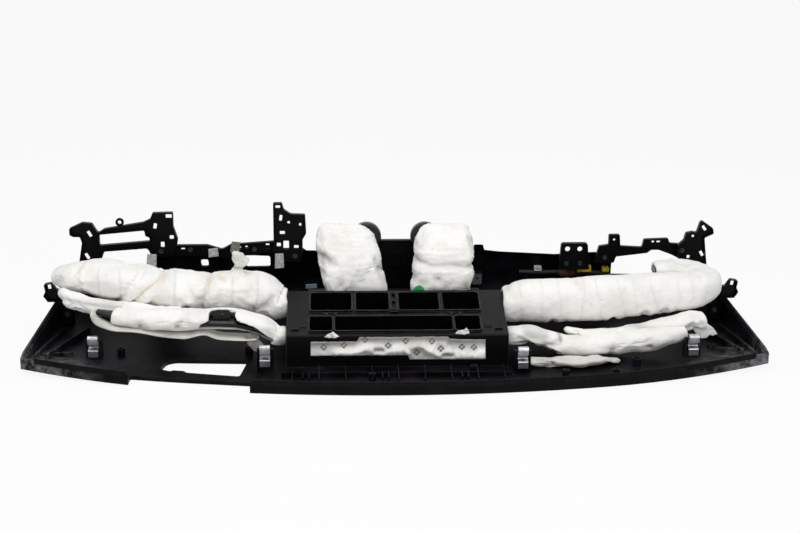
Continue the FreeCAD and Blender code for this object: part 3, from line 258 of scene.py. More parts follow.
white_fleece = fleece_finish("needled_fleece_white", "#FAF9F6", "#EAE8E2")
grey_fleece = fleece_finish("needled_fleece_greyed", "#E2E0DA", "#C2BFB7")
film = fleece_finish("thin_fleece_film", "#8E8B84", "#6C6A64", 0.1, 0.6)

# %% [markdown]
# ### The small finishes
# Felt tags, spring steel, coloured connector plastics, loom sleeve and cloth tape. Each could be
# one flat colour at this size, but light moves over a real surface, so each has its own grain.

# %% Small finishes
def plain(name, base, second, size_mm, rough, metal=0.0, depth=0.1, bump_mm=1.5, shine=0.5):
    """A finish of two mottled colours with a fine bump."""
    material, tree, shader, place = started(name)
    cloud = spots(tree, place, size_mm, 4).outputs[0]
    tree.links.new(between(tree, cloud, 0.4, 0.7, linear(base), linear(second)),
                   shader.inputs["Base Color"])
    bump = add(tree, "ShaderNodeBump", None, {
        "Height": spots(tree, place, bump_mm, 3).outputs[0], "Strength": 0.4,
        "Distance": depth * MM})
    tree.links.new(bump.outputs[0], shader.inputs["Normal"])
    tree.links.new(level(tree, cloud, 0.35, 0.65, rough, rough + 0.12), shader.inputs["Roughness"])
    shader.inputs["Metallic"].default_value = metal
    if metal == 0:
        shader.inputs["Specular IOR Level"].default_value = shine
    return material


felt_white = plain("pressed_felt_white", "#C9CCC9", "#A7ABA8", 6, 0.95, 0, 0.8, 1.6, 0.1)
felt_olive = plain("pressed_felt_olive", "#8B8F80", "#6E7266", 5, 0.95, 0, 0.8, 1.6, 0.1)
felt_green = plain("pressed_felt_dark_green", "#2F3A33", "#1E2621", 5, 0.95, 0, 0.8, 1.6, 0.1)
felt_blue = plain("pressed_felt_pale_blue", "#A9BCC0", "#8FA3A8", 5, 0.95, 0, 0.8, 1.6, 0.1)
spring_steel = plain("rolled_spring_steel", "#B9BABC", "#8D8F92", 9, 0.30, 1.0, 0.05, 3)
screw_steel = plain("zinc_plated_screws", "#55575A", "#3A3B3E", 4, 0.35, 1.0, 0.05, 2)
green_plastic = plain("moulded_pom_green", "#1FB45A", "#179148", 8, 0.45)
yellow_plastic = plain("moulded_pbt_yellow", "#E6CE1B", "#C9B012", 7, 0.4)
pale_plastic = plain("moulded_pbt_pale", "#C9C8C2", "#A5A49E", 6, 0.4)
loom_black = plain("corrugated_loom_sleeve", "#0D0D0E", "#1B1A1A", 9, 0.5, 0, 0.2, 2, 0.3)
cloth_tape = plain("woven_cloth_tape", "#5C3D2F", "#3D281F", 8, 0.85, 0, 0.3, 0.9, 0.15)
seal_foam = plain("cut_foam_seal", "#0E0E0F", "#1B1B1D", 12, 0.85, 0, 0.5, 2, 0.1)

# %% [markdown]
# ### Dressing the CAD nodes
# A rigid CAD node already has the right shape, so it only gets its finish. A soft node is
# skipped here, because a fleece piece made below stands for it.

# %% Finishes on the CAD nodes
SOFT_ENDINGS = ("_sleeve", "_band", "_flap", "_corner", "_edge", "_strip", "felt_tags")
NODE_FINISH = {
    "top_pad": pad_black, "carrier": carrier_black, "air_manifold": manifold_black,
    "windshield_trim_left": seal_foam, "windshield_trim_right": seal_foam,
    "bracket_screws": screw_steel, "pad_clips": spring_steel, "steel_clip": spring_steel,
    "green_clip": green_plastic, "wire_harness": loom_black, "harness_tape": cloth_tape,
    "yellow_plugs": yellow_plastic, "white_plug": pale_plastic}
hard_nodes = [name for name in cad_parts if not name.endswith(SOFT_ENDINGS)]
for name in hard_nodes:
    finish = duct_black if name.endswith("_duct") else NODE_FINISH.get(name, bracket_black)
    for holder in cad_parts[name].material_slots:
        holder.material = finish
print("dressed", len(hard_nodes), "hard nodes of", len(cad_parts))

# %% [markdown]
# ## Fleece wraps
# Each wrap is a fleece tube pulled over a blown duct: soft, full of low lumps, gathered where it
# is tied, and darkened in its folds with painted shade. It could be sculpted by hand, or a CAD
# solid could be inflated. A straight tube of rings laid along the duct's own path keeps every
# ring square to the path, so creases, ties and wrinkles can be pressed in at known places before
# a cloth simulation lets the fleece swell between them.

# %% Laying a tube along a path
BACK = Vector((0, 1, 0))
SIDEWAYS = Vector((1, 0, 0))
UPWARDS = Vector((0, 0, 1))


def stations(keys, pitch):
    """Smooth rows through the keys (x, y, z, half depth, half height), about pitch mm apart."""
    rows = []
    keys = [np.array(key, float) for key in keys]
    last = len(keys) - 1
    for i in range(last):
        before, first, second, after = (keys[min(max(i + k, 0), last)] for k in (-1, 0, 1, 2))
        steps = max(1, round(float(np.linalg.norm((second - first)[:3])) / pitch))
        for j in range(steps):
            t = j / steps
            rows.append(0.5 * (2 * first + (second - before) * t
                               + (2 * before - 5 * first + 4 * second - after) * t * t
                               + (3 * first - before - 3 * second + after) * t ** 3))
    rows.append(keys[-1])
    return rows


# The rings that finish an end, each (share of the size, inset in mm, slide along the path in
# mm): a lip turned in where the tube is open, a rounded tip where it is closed.
END_RINGS = {
    "open": [(1, 7, 22), (1, 7, 8), (1, 6.5, 2), (1, 5, 0), (1, 2.5, 0.3), (1, 0.8, 2)],
    "closed": [(0.12, 0, -4), (0.35, 0, -3.5), (0.6, 0, -2.5), (0.8, 0, -1), (0.93, 0, 1)]}
THINNEST = 1.5


def ring_table(last, start, end):
    """Every ring of a tube as (place along, share, inset, slide)."""
    table = [(0, *ring) for ring in END_RINGS[start]]
    table += [(i, 1, 0, 0) for i in range(1, last)]
    table += [(last, share, inset, -slide) for share, inset, slide in reversed(END_RINGS[end])]
    return table


def tube(name, keys, side=BACK, power=2.5, pitch=6.0, ring=64, ends=("open", "open"), slim=3.0):
    """A soft tube of rings along the keys' path, slim mm inside its CAD solid."""
    rows = stations(keys, pitch)
    last = len(rows) - 1
    table = ring_table(last, *ends)
    bm = bmesh.new()
    bmesh.ops.create_circle(bm, segments=ring, radius=1)
    edges = bm.edges[:]
    for _ in table[1:]:
        made = bmesh.ops.extrude_edge_only(bm, edges=edges)["geom"]
        fresh = {v for v in made if isinstance(v, bmesh.types.BMVert)}
        bmesh.ops.translate(bm, verts=list(fresh), vec=(0, 0, 1))
        edges = [e for e in made if isinstance(e, bmesh.types.BMEdge)
                 and e.verts[0] in fresh and e.verts[1] in fresh]
    for at, kind in ((0, ends[0]), (len(table) - 1, ends[1])):
        if kind == "closed":
            rim = [e for e in bm.edges if all(round(v.co.z) == at for v in e.verts)]
            bmesh.ops.contextual_create(bm, geom=rim)
    frames = []
    for i, row in enumerate(rows):
        tangent = Vector(rows[min(i + 1, last)][:3] - rows[max(i - 1, 0)][:3]).normalized()
        across = UPWARDS.cross(tangent) if side is None else side - tangent * side.dot(tangent)
        across.normalize()
        frames.append((Vector(row[:3]), tangent, across, tangent.cross(across), row[3], row[4]))
    for v in bm.verts:
        at, share, inset, slide = table[round(v.co.z)]
        centre, tangent, across, over, half_depth, half_height = frames[at]
        c, s = v.co.x, v.co.y
        reach = (abs(c) ** power + abs(s) ** power) ** (-1 / power)
        depth = max(half_depth * share - slim - inset, THINNEST)
        height = max(half_height * share - slim - inset, THINNEST)
        v.co = (centre + tangent * slide + across * (c * reach * depth)
                + over * (s * reach * height)) * MM
    bm.faces.ensure_lookup_table()
    sample = bm.faces[len(bm.faces) // 2]
    at = sample.calc_center_median()
    axis = min((row[0] * MM for row in frames), key=lambda centre: (centre - at).length)
    sample.normal_update()
    if sample.normal.dot(at - axis) < 0:
        bmesh.ops.reverse_faces(bm, faces=bm.faces[:])
    return kept(bm, name)


def kept(bm, name, smooth=True):
    """The finished mesh as an object of the scene, its place in its mesh."""
    mesh = bpy.data.meshes.new(name)
    for face in bm.faces:
        face.smooth = smooth
    bm.normal_update()
    bm.to_mesh(mesh)
    bm.free()
    piece = bpy.data.objects.new(name, mesh)
    scene.collection.objects.link(piece)
    return piece


# %% [markdown]
# ### Pressing and puffing
# A crease is a line that the fleece is pulled in along. A dimple is the same at one point. The
# lines are written as they stand in the photograph, in millimetres across and up, and they act
# on the side of the wrap that faces the camera.

# %% Pressing creases in
def points_of(piece):
    """The mesh's points and normals as arrays, in mm."""
    mesh = piece.data
    count = len(mesh.vertices)
    place = np.empty(count * 3)
    mesh.vertices.foreach_get("co", place)
    normal = np.empty(count * 3)
    mesh.vertex_normals.foreach_get("vector", normal)
    return place.reshape(-1, 3) / MM, normal.reshape(-1, 3)


def put_points(piece, place):
    """Writes the points back."""
    piece.data.vertices.foreach_set("co", (place * MM).ravel())
    piece.data.update()


def distance_to(place, line):
    """Distance of every point from a line of (x, z), seen from the front."""
    flat = place[:, [0, 2]]
    nearest = np.full(len(flat), 1e9)
    line = [np.array(p, float) for p in line]
    if len(line) == 1:
        return np.linalg.norm(flat - line[0], axis=1)
    for a, b in zip(line[:-1], line[1:]):
        run = b - a
        share = np.clip(((flat - a) @ run) / (run @ run), 0, 1)
        nearest = np.minimum(nearest, np.linalg.norm(flat - a - share[:, None] * run, axis=1))
    return nearest


SHOULDER = 0.28
SHOULDER_AT = 2.2


def press(piece, lines, depth, width):
    """Pulls the fleece in along each line, with a soft shoulder on both sides."""
    place, normal = points_of(piece)
    seen = np.clip(0.9 - 2.5 * normal[:, 1], 0, 1)
    for line in lines:
        gap = distance_to(place, line)
        shoulder = np.exp(-((gap - SHOULDER_AT * width) / width) ** 2)
        dent = np.exp(-(gap / width) ** 2) - SHOULDER * shoulder
        place -= normal * (depth * dent * seen)[:, None]
    put_points(piece, place)


def mark(piece, layer, lines, width, strength):
    """Adds a mark along each line to one of the mesh's own numbers: grey for painted shade and dirt,
    orange for stain.
    """
    place, normal = points_of(piece)
    mesh = piece.data
    if layer not in mesh.attributes:
        mesh.attributes.new(layer, "FLOAT", "POINT")
    held = np.empty(len(place))
    mesh.attributes[layer].data.foreach_get("value", held)
    seen = np.clip(1.0 - 3 * normal[:, 1], 0, 1)
    for line in lines:
        gap = distance_to(place, line)
        held = np.maximum(held, strength * np.exp(-(gap / width) ** 2) * seen)
    mesh.attributes[layer].data.foreach_set("value", held)


def lumpy(piece, amount, size, seed, stretch=(1, 1, 1)):
    """Low lumps all over, from a smooth noise of that size in mm."""
    place, normal = points_of(piece)
    shift = Vector((seed, seed * 1.7, -seed))
    for i in range(len(place)):
        at = Vector(place[i] * stretch) / size + shift
        place[i] += normal[i] * (amount * noise.noise(at))
    put_points(piece, place)


def finer(piece):
    """One subdivision, applied, so that creases narrower than a ring can follow."""
    bm = bmesh.new()
    bm.from_mesh(piece.data)
    bmesh.ops.subdivide_edges(bm, edges=bm.edges[:], cuts=1, use_grid_fill=True, smooth=0.6)
    for face in bm.faces:
        face.smooth = True
    bm.to_mesh(piece.data)
    bm.free()


# %% [markdown]
# ### Letting the fleece swell
# Real fleece stands proud between its ties and puckers beside them. That could be sculpted, but
# a short cloth simulation with a little pressure and no gravity gives it with the right folds. A
# cap on the way that a point may move keeps the wrap inside its place.

# %% Letting the fleece swell
CLOTH_FRAMES = 20


def near_ends(piece, low, high, reach=9.0):
    """The points close to the ends of a tube that runs along x."""
    place, _ = points_of(piece)
    return (place[:, 0] < low + reach) | (place[:, 0] > high - reach)


def puff(piece, tied, pressure=3.5, spare=0.04, cap=9.0):
    """Twenty frames of cloth: the fleece swells between its ties and wrinkles beside them."""
    start, _ = points_of(piece)
    group = piece.vertex_groups.new(name="tied")
    group.add([int(i) for i in np.flatnonzero(tied)], 1.0, "REPLACE")
    swell = piece.modifiers.new("swell", "CLOTH")
    fabric = swell.settings
    fabric.quality = 6
    fabric.mass = 0.25
    fabric.tension_stiffness = 12
    fabric.compression_stiffness = 12
    fabric.shear_stiffness = 6
    fabric.bending_stiffness = 0.6
    fabric.use_pressure = True
    fabric.uniform_pressure_force = pressure
    fabric.shrink_min = -spare
    fabric.vertex_group_mass = "tied"
    fabric.effector_weights.gravity = 0
    swell.collision_settings.use_collision = False
    swell.point_cache.frame_start = 1
    swell.point_cache.frame_end = CLOTH_FRAMES
    for frame_number in range(1, CLOTH_FRAMES + 1):
        scene.frame_set(frame_number)
    shown = piece.evaluated_get(bpy.context.evaluated_depsgraph_get())
    end = np.empty(len(start) * 3)
    shown.data.vertices.foreach_get("co", end)
    move = end.reshape(-1, 3) / MM - start
    length = np.linalg.norm(move, axis=1)
    move *= np.minimum(1, cap / np.maximum(length, 1e-6))[:, None]
    piece.modifiers.remove(swell)
    scene.frame_set(1)
    put_points(piece, start + move)
    piece.vertex_groups.remove(group)
    print(piece.name, "swelled", round(float(length.mean()), 1), "mm")


# %% [markdown]
# ### Keeping clear of the ducts, and dressing
# Pressed and swollen fleece may cut into the black duct inside it. A tree of the duct's faces
# finds the nearest wall of each point, and the point is set back just outside it.

# %% Keeping clear of the ducts
DUCT_REACH = 25.0
HOLLOW_REACH = 12.0
WALL_AND_GAP = 2.5


def clear_of_duct(piece, duct, gap=1.2):
    """Lifts fleece that was pressed into the duct, or through its wall, back out of it."""
    wall = BVHTree.FromObject(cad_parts[duct], bpy.context.evaluated_depsgraph_get())
    lifted = 0
    for v in piece.data.vertices:
        near, normal, _, distance = wall.find_nearest(v.co)
        if distance > DUCT_REACH * MM:
            continue
        facing = v.normal.dot(normal)
        if facing > 0 and (v.co - near).dot(normal) < gap * MM:
            v.co = near + normal * gap * MM
            lifted += 1
        elif facing < -0.5 and distance < HOLLOW_REACH * MM:
            v.co = near - normal * (gap + WALL_AND_GAP) * MM
            lifted += 1
    print(piece.name, "lifted", lifted, "points off", duct)


# %% Dressing a piece
def dressed(piece, finish, slot_name, *nodes):
    """Gives a piece its finish, and says what it rides on and stands for."""
    piece.data.materials.append(finish)
    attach(piece, "root")
    if nodes:
        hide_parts(*nodes)
    print(piece.name, len(piece.data.polygons), "faces")


def worn(piece, finish, *nodes, fill=0.6):
    """Dresses a piece of fleece and gives it its two empty mark layers; fill, how full it is, is not
    used.
    """
    for layer in ("dirt_and_shade", "stain"):
        if layer not in piece.data.attributes:
            piece.data.attributes.new(layer, "FLOAT", "POINT")
    dressed(piece, finish, "white_fleece", *nodes)


# %% [markdown]
# ### The driver's side wrap
# The longest wrap: it leaves the manifold, climbs to a tied knot and runs out to a flattened
# end. Two slanting creases with orange glue marks split it into lobes.

# %% Driver's side wrap
PORT_FACE = 222.3
DRIVER_SIDE = [(-PORT_FACE, 30, 91, 44, 31), (-244, 30, 91, 48, 34), (-276, 32, 107, 55, 42),
               (-316, 34, 112, 56, 42), (-376, 35, 113, 57, 37), (-490, 36, 122, 58, 38),
               (-593, 38, 139, 57, 37), (-650, 40, 146, 50, 30), (-708, 40, 146, 26, 16)]
driver_wrap = tube("driver_side_wrap", DRIVER_SIDE)
SEAM = [(-470, 168), (-482, 150), (-503, 138), (-520, 125), (-535, 108), (-545, 96)]
GLUE_FOLD = [(-376, 168), (-384, 141), (-389, 123), (-395, 111), (-399, 92)]
KNOT_FOLDS = [[(-318, 178), (-330, 150), (-352, 138)], [(-310, 172), (-306, 150), (-296, 128)],
              [(-326, 176), (-340, 158), (-360, 150)]]
EAR_FOLD = [(-690, 128), (-664, 122), (-630, 108), (-590, 102), (-552, 98)]
RIGHT_FOLD = [(-262, 160), (-246, 120), (-262, 96), (-292, 86)]
DIMPLES = [[(-545, 97)], [(-428, 88)]]
lumpy(driver_wrap, 4.0, 55, 3.1)
press(driver_wrap, [SEAM, GLUE_FOLD], 5.0, 9)
press(driver_wrap, KNOT_FOLDS, 3.0, 6)
press(driver_wrap, [RIGHT_FOLD], 3.0, 9)
press(driver_wrap, DIMPLES, 9.0, 7)
place, _ = points_of(driver_wrap)
glued = (distance_to(place, SEAM) < 3) | (distance_to(place, GLUE_FOLD) < 3)
puff(driver_wrap, near_ends(driver_wrap, -708, -222) | glued)
finer(driver_wrap)
press(driver_wrap, [SEAM, GLUE_FOLD], 2.0, 3)
press(driver_wrap, KNOT_FOLDS, 1.5, 2.5)
THREADS = [[(x, 90), (x + 4, 130), (x + 1, 170)] for x in (-648, -610, -566, -455, -338, -286)]
press(driver_wrap, THREADS, 0.9, 2.2)
lumpy(driver_wrap, 1.2, 14, 7.3)
# Grey along the pressed threads, along the ear fold that is not pressed in, and in the dimples is
# painted shade of those folds; two more lines darken the ear end.
mark(driver_wrap, "dirt_and_shade", THREADS, 2.5, 0.16)
mark(driver_wrap, "dirt_and_shade", [EAR_FOLD] + DIMPLES, 6, 0.55)
mark(driver_wrap, "dirt_and_shade", [[(-700, 141), (-687, 150)], [(-668, 128), (-640, 118)]], 9, 0.25)
mark(driver_wrap, "stain", [SEAM[:-1], GLUE_FOLD[:-1]], 2.8, 0.7)
mark(driver_wrap, "stain", [[(-421, 130), (-411, 121), (-399, 115)],
                            [(-640, 176), (-654, 160), (-640, 144)],
                            [(-376, 165), (-362, 150), (-350, 146)],
                            [(-300, 130), (-330, 128), (-360, 132)]], 3, 0.4)
clear_of_duct(driver_wrap, "driver_side_duct")
worn(driver_wrap, white_fleece, "driver_side_sleeve")

# %% [markdown]
# ### The passenger's side wrap
# It runs straight out and turns back over itself like an elbow. A thin tape winds round it, so
# faint lines cross it at every turn.

# %% Passenger's side wrap
def passenger_side_path():
    """Out along x, round half a turn, and back over its own run, as the duct goes."""
    keys = [(PORT_FACE, 10, 91, 40, 37), (244, 10, 91, 42, 40), (270, 10, 95, 44, 43),
            (346, 10, 97, 46, 44), (431, 10, 101, 46, 44), (515, 10, 108, 46, 41)]
    turn_x, turn_radius, turns = 604.0, 47.0, 6
    for i in range(turns + 1):
        angle = math.radians(-90 + 180 * i / turns)
        share = i / turns
        keys.append((turn_x + turn_radius * math.cos(angle),
                     10 + turn_radius + turn_radius * math.sin(angle),
                     115 + 20 * share, 42 - 9 * share, 39 - 19 * share))
    keys.append((556, 104, 136, 30, 18))
    return keys


passenger_wrap = tube("passenger_side_wrap", passenger_side_path(), side=None)
LEANS = ((258, 3), (301, -2), (340, 6), (386, -5), (421, 11), (470, 15), (497, 9), (538, 17))
WINDS = [[(x - lean * (z - 100) / 60 + 2.5 * noise.noise(Vector((x, z / 22, 1))), z)
          for z in range(62, 156, 12)] for x, lean in LEANS]
WINDS += [[(576, 84), (588, 112), (582, 140)], [(604, 88), (618, 116), (612, 142)],
          [(640, 98), (646, 122)]]
TIES = [[(324, 61)], [(445, 62)], [(509, 77)], [(550, 83)]]
place, _ = points_of(passenger_wrap)
ends = (place[:, 0] < PORT_FACE + 9) | ((place[:, 0] < 564) & (place[:, 1] > 70))
lumpy(passenger_wrap, 3.0, 60, 11.0)
press(passenger_wrap, WINDS[::2], 0.8, 9)
press(passenger_wrap, TIES, 7.0, 6)
puff(passenger_wrap, ends)
finer(passenger_wrap)
press(passenger_wrap, WINDS, 0.5, 2.0)
lumpy(passenger_wrap, 1.0, 14, 5.5)
# Grey along the windings, at the pressed ties, along the lower edge and where the wrap meets its port
# is painted shade.
mark(passenger_wrap, "dirt_and_shade", WINDS, 2.0, 0.10)
mark(passenger_wrap, "dirt_and_shade", TIES, 4.5, 0.75)
mark(passenger_wrap, "dirt_and_shade", [[(233, 130)], [(228, 58), (321, 51), (449, 57)]], 7, 0.3)
mark(passenger_wrap, "stain", [[(384, 132), (374, 140)], [(470, 128)]], 5, 0.25)
clear_of_duct(passenger_wrap, "passenger_side_duct")
worn(passenger_wrap, white_fleece, "passenger_side_sleeve")

# %% [markdown]
# ### The centre wraps
# Two flat-sided bags of fleece stand on the manifold's neck. They are boxier than the others:
# the power of their section is higher. Fine wrinkles cross them where the fleece was tugged.

# %% Centre wraps
NECK_HEIGHT = 96.0


def centre_path(side):
    """Both centre ducts stand on the neck, lean back and narrow towards the top."""
    foot, knee, waist, top = (-76, -86, -93, -104) if side < 0 else (98, 103, 107, 107)
    return [(foot, 74, NECK_HEIGHT + 0.6, 64, 26), (foot, 74, NECK_HEIGHT + 14, 65, 28),
            (knee, 83, 130, 66, 36), (waist, 102, 163, 66, 40), (top, 126, 200, 63, 37),
            (top, 142, 222, 55, 28)]


for label, side, dents in (
        ("left", -1, [[(-150, 176), (-136, 162)], [(-112, 122)], [(-40, 170), (-20, 120)]]),
        ("right", 1, [[(50, 166), (80, 160), (120, 161), (164, 156)], [(92, 132)],
                      [(40, 128), (60, 120)], [(150, 118), (154, 100)]])):
    bag = tube("centre_wrap_" + label, centre_path(side), side=SIDEWAYS, power=3.4, pitch=5.0,
               ring=72)
    place, _ = points_of(bag)
    feet = (place[:, 2] < NECK_HEIGHT + 8) | (place[:, 2] > 226)
    lumpy(bag, 2.5, 46, 2.0 + side, (1, 1, 1.6))
    press(bag, dents, 3.2, 8)
    puff(bag, feet, 2.5, 0.03, 6)
    finer(bag)
    lumpy(bag, 1.5, 11, 4.0 + side, (0.3, 1, 1.9))
    press(bag, dents, 1.5, 3)
    # Grey in the pressed dents and along the band near the foot is painted shade.
    mark(bag, "dirt_and_shade", dents, 6, 0.3)
    low = [[(side * 20, 108), (side * 60, 112), (side * 130, 108)]]
    mark(bag, "dirt_and_shade", low, 5, 0.35)
    mark(bag, "stain", [[(side * 108, 200), (side * 90, 204)]], 6, 0.15)
    clear_of_duct(bag, "centre_" + label + "_duct")
    worn(bag, white_fleece, "centre_" + label + "_sleeve")

# %% [markdown]
# ### The demister wraps
# Both lie in front, lower down, and are cut open where the black duct shows. The edge of a cut
# is a real thickness of fleece, so these two are one sheet with a wall given by Solidify.

# %% Demister wraps
DRIVER_DEMISTER = [(-PORT_FACE, -86, 56, 28, 19), (-244, -86, 56, 29, 19), (-280, -85, 74, 33, 20),
                   (-330, -84, 86, 34, 20), (-400, -82, 88, 34, 18), (-480, -80, 89, 34, 18),
                   (-550, -75, 94, 30, 18), (-568, -72, 96, 25, 17)]
PASSENGER_DEMISTER = [(PORT_FACE, -86, 53, 28, 19), (244, -86, 53, 29, 19), (270, -86, 56, 32, 20),
                      (300, -88, 50, 34, 18), (346, -90, 38, 34, 18), (420, -90, 37, 36, 18),
                      (500, -88, 42, 34, 18), (560, -78, 49, 28, 18), (590, -70, 54, 21, 17)]
EAR_WINDOW = [(-404, 60), (-392, 88), (-376, 94), (-374, 122), (-328, 122), (-322, 98),
              (-286, 84), (-250, 54), (-262, 36), (-330, 50)]
ARCH = [(238, 24), (238, 44), (262, 50), (300, 40), (330, 26), (320, 12), (280, 14)]


def inside(corners, x, z):
    """Whether a point seen from the front is inside a closed line."""
    odd = False
    for (x0, z0), (x1, z1) in zip(corners, corners[1:] + corners[:1]):
        if (z0 > z) != (z1 > z) and x < x0 + (z - z0) * (x1 - x0) / (z1 - z0):
            odd = not odd
    return odd


def nearest_on(loop, flat):
    """The point of a closed line that is nearest to a point seen from the front."""
    best = None
    for a, b in zip(loop, loop[1:] + loop[:1]):
        run = b - a
        near = a + run * min(max((flat - a).dot(run) / run.dot(run), 0), 1)
        if best is None or (near - flat).length < (best - flat).length:
            best = near
    return best


# %% Cutting a window
FRONT_SPARE = 4.0
EDGE_PULL = 7.0


def cut_window(piece, corners, y_back):
    """Cuts a hole through the front wall and pulls its edge onto the line of the cut."""
    bm = bmesh.new()
    bm.from_mesh(piece.data)
    gone = []
    for face in bm.faces:
        at = face.calc_center_median() / MM
        if at.y < y_back and inside(corners, at.x, at.z):
            gone.append(face)
    bmesh.ops.delete(bm, geom=gone, context="FACES")
    loop = [Vector(p) for p in corners]
    for v in bm.verts:
        if v.is_boundary and v.co.y / MM < y_back + FRONT_SPARE:
            flat = Vector((v.co.x, v.co.z)) / MM
            best = nearest_on(loop, flat)
            if (best - flat).length < EDGE_PULL:
                v.co.x, v.co.z = best.x * MM, best.y * MM
    bmesh.ops.smooth_vert(bm, verts=[v for v in bm.verts if v.is_boundary], factor=0.4,
                          use_axis_x=True, use_axis_y=True, use_axis_z=True)
    bm.to_mesh(piece.data)
    bm.free()


def thick(piece, thickness, rounds=0):
    """Gives a sheet its thickness behind its face, and rounds its cut edges."""
    wall = piece.modifiers.new("thickness", "SOLIDIFY")
    wall.thickness = thickness * MM
    wall.offset = -1
    if rounds:
        smooth = piece.modifiers.new("rounding", "SUBSURF")
        smooth.levels = smooth.render_levels = rounds


# %% Both demister wraps
WRAP_WALL = 5.0
for name, keys, window, y_back, dents, darkened_patches in (
        ("driver_demister", DRIVER_DEMISTER, EAR_WINDOW, -86,
         [[(-585, 100)], [(-515, 84)], [(-440, 84), (-430, 96)]],
         [[(-552, 78), (-500, 76)], [(-232, 52)]]),
        ("passenger_demister", PASSENGER_DEMISTER, ARCH, -92,
         [[(436, 34)], [(512, 36)], [(330, 52), (300, 44)]],
         [[(436, 34)], [(520, 32), (560, 38)], [(228, 62)], [(262, 66), (300, 56)]])):
    wrap = tube(name + "_wrap", keys, ring=56, pitch=5.0, slim=2.0)
    low, high = sorted((keys[0][0], keys[-1][0]))
    middles = [[dent[0]] for dent in dents]
    lumpy(wrap, 3.0, 40, 6.0 + len(name))
    press(wrap, dents, 4.5, 7)
    puff(wrap, near_ends(wrap, low, high), 3.0, 0.03, 6)
    press(wrap, middles, 3.0, 4.5)
    clear_of_duct(wrap, name + "_duct", 5.8)
    cut_window(wrap, window, y_back)
    # Grey in the pressed dents, darkest at their deeper middles, is painted shade; the other patches
    # darken the wraps, several of them along the lower edge.
    mark(wrap, "dirt_and_shade", darkened_patches, 8, 0.45)
    mark(wrap, "dirt_and_shade", dents, 4, 0.35)
    mark(wrap, "dirt_and_shade", middles, 4.5, 0.9)
    worn(wrap, white_fleece, name + "_sleeve")
    thick(wrap, WRAP_WALL, 1)

# %% [markdown]
# ### Folds, flap and edge
# Spare fleece that hangs between the wraps. Each is a thin closed pillow, squeezed flat at its
# ends.

# %% Folds of spare fleece
FOLDS = {
    "driver_fleece_band": ([(-686, -2, 126, 13, 10), (-656, -14, 114, 24, 17),
                            (-600, -22, 104, 26, 17), (-520, -28, 97, 24, 14),
                            (-440, -30, 92, 16, 9)], white_fleece,
                           [[(-680, 118), (-640, 112), (-560, 104)]]),
    "passenger_fleece_band": ([(350, -42, 50, 14, 7), (400, -44, 46, 20, 10),
                               (460, -48, 48, 22, 12), (520, -50, 58, 26, 15),
                               (580, -50, 68, 28, 18), (636, -44, 68, 26, 18)], white_fleece,
                              [[(470, 62), (520, 60), (600, 64)]]),
    "passenger_fleece_flap": ([(268, -142, 16.3, 18, 8), (306, -146, 16.3, 20, 8),
                               (352, -152, 16.3, 22, 8), (400, -143, 16.3, 20, 8),
                               (446, -132, 14.8, 12, 6.5)], grey_fleece,
                              [[(290, 16), (330, 12), (400, 16)]])}
for name, (keys, finish, dents) in FOLDS.items():
    fold = tube(name.replace("fleece", "soft"), keys, ends=("closed", "closed"), ring=48,
                pitch=5.0, slim=1.5)
    lumpy(fold, 3.0, 34, float(len(name)))
    puff(fold, near_ends(fold, keys[0][0], keys[-1][0], 4), 3.0, 0.05, 5)
    finer(fold)
    press(fold, dents, 2.0, 4)
    lumpy(fold, 1.2, 12, 1.0 + len(name))
    # Grey along the pressed dents is painted shade.
    mark(fold, "dirt_and_shade", dents, 5, 0.35)
    worn(fold, finish, name)

# %% [markdown]
# ### Cut sheets of fleece and felt
# The welded strip on the manifold, the tags, the corner and the scraps were all cut from flat
# cloth. A fine grid trimmed along the cut gives room for every pillow and weld; Solidify then
# gives it its thickness.

# %% Cutting a sheet
def cut_sheet(name, corners, y, pitch, height):
    """A flat upright sheet inside a line of (x, z), its front at y, raised by a height."""
    xs, zs = [c[0] for c in corners], [c[1] for c in corners]
    wide, tall = max(xs) - min(xs), max(zs) - min(zs)
    bm = bmesh.new()
    bmesh.ops.create_grid(bm, x_segments=max(4, round(wide / pitch)),
                          y_segments=max(4, round(tall / pitch)), size=0.5)
    bmesh.ops.scale(bm, verts=bm.verts[:], vec=(wide, tall, 1))
    bmesh.ops.rotate(bm, verts=bm.verts[:], matrix=Matrix.Rotation(math.radians(90), 3, "X"))
    middle = ((max(xs) + min(xs)) / 2, y, (max(zs) + min(zs)) / 2)
    bmesh.ops.translate(bm, verts=bm.verts[:], vec=middle)
    gone = [f for f in bm.faces
            if not inside(corners, f.calc_center_median().x, f.calc_center_median().z)]
    bmesh.ops.delete(bm, geom=gone, context="FACES")
    loop = [Vector(p) for p in corners]
    for v in bm.verts:
        if v.is_boundary:
            flat = Vector((v.co.x, v.co.z))
            best = nearest_on(loop, flat)
            if (best - flat).length < 1.5 * pitch:
                v.co.x, v.co.z = best
    for v in bm.verts:
        v.co.y -= height(v.co.x, v.co.z)
        v.co *= MM
    return kept(bm, name)


def line_gap(x, z, line):
    """Distance of one point from a line of points."""
    return float(distance_to(np.array([[x, 0.0, z]]), line)[0])


# %% [markdown]
# ### The welded strip
# A strip of fleece is spot-welded to the front of the manifold. Between the welds it stands up in
# soft pillows; each weld is a small cross of four slots.

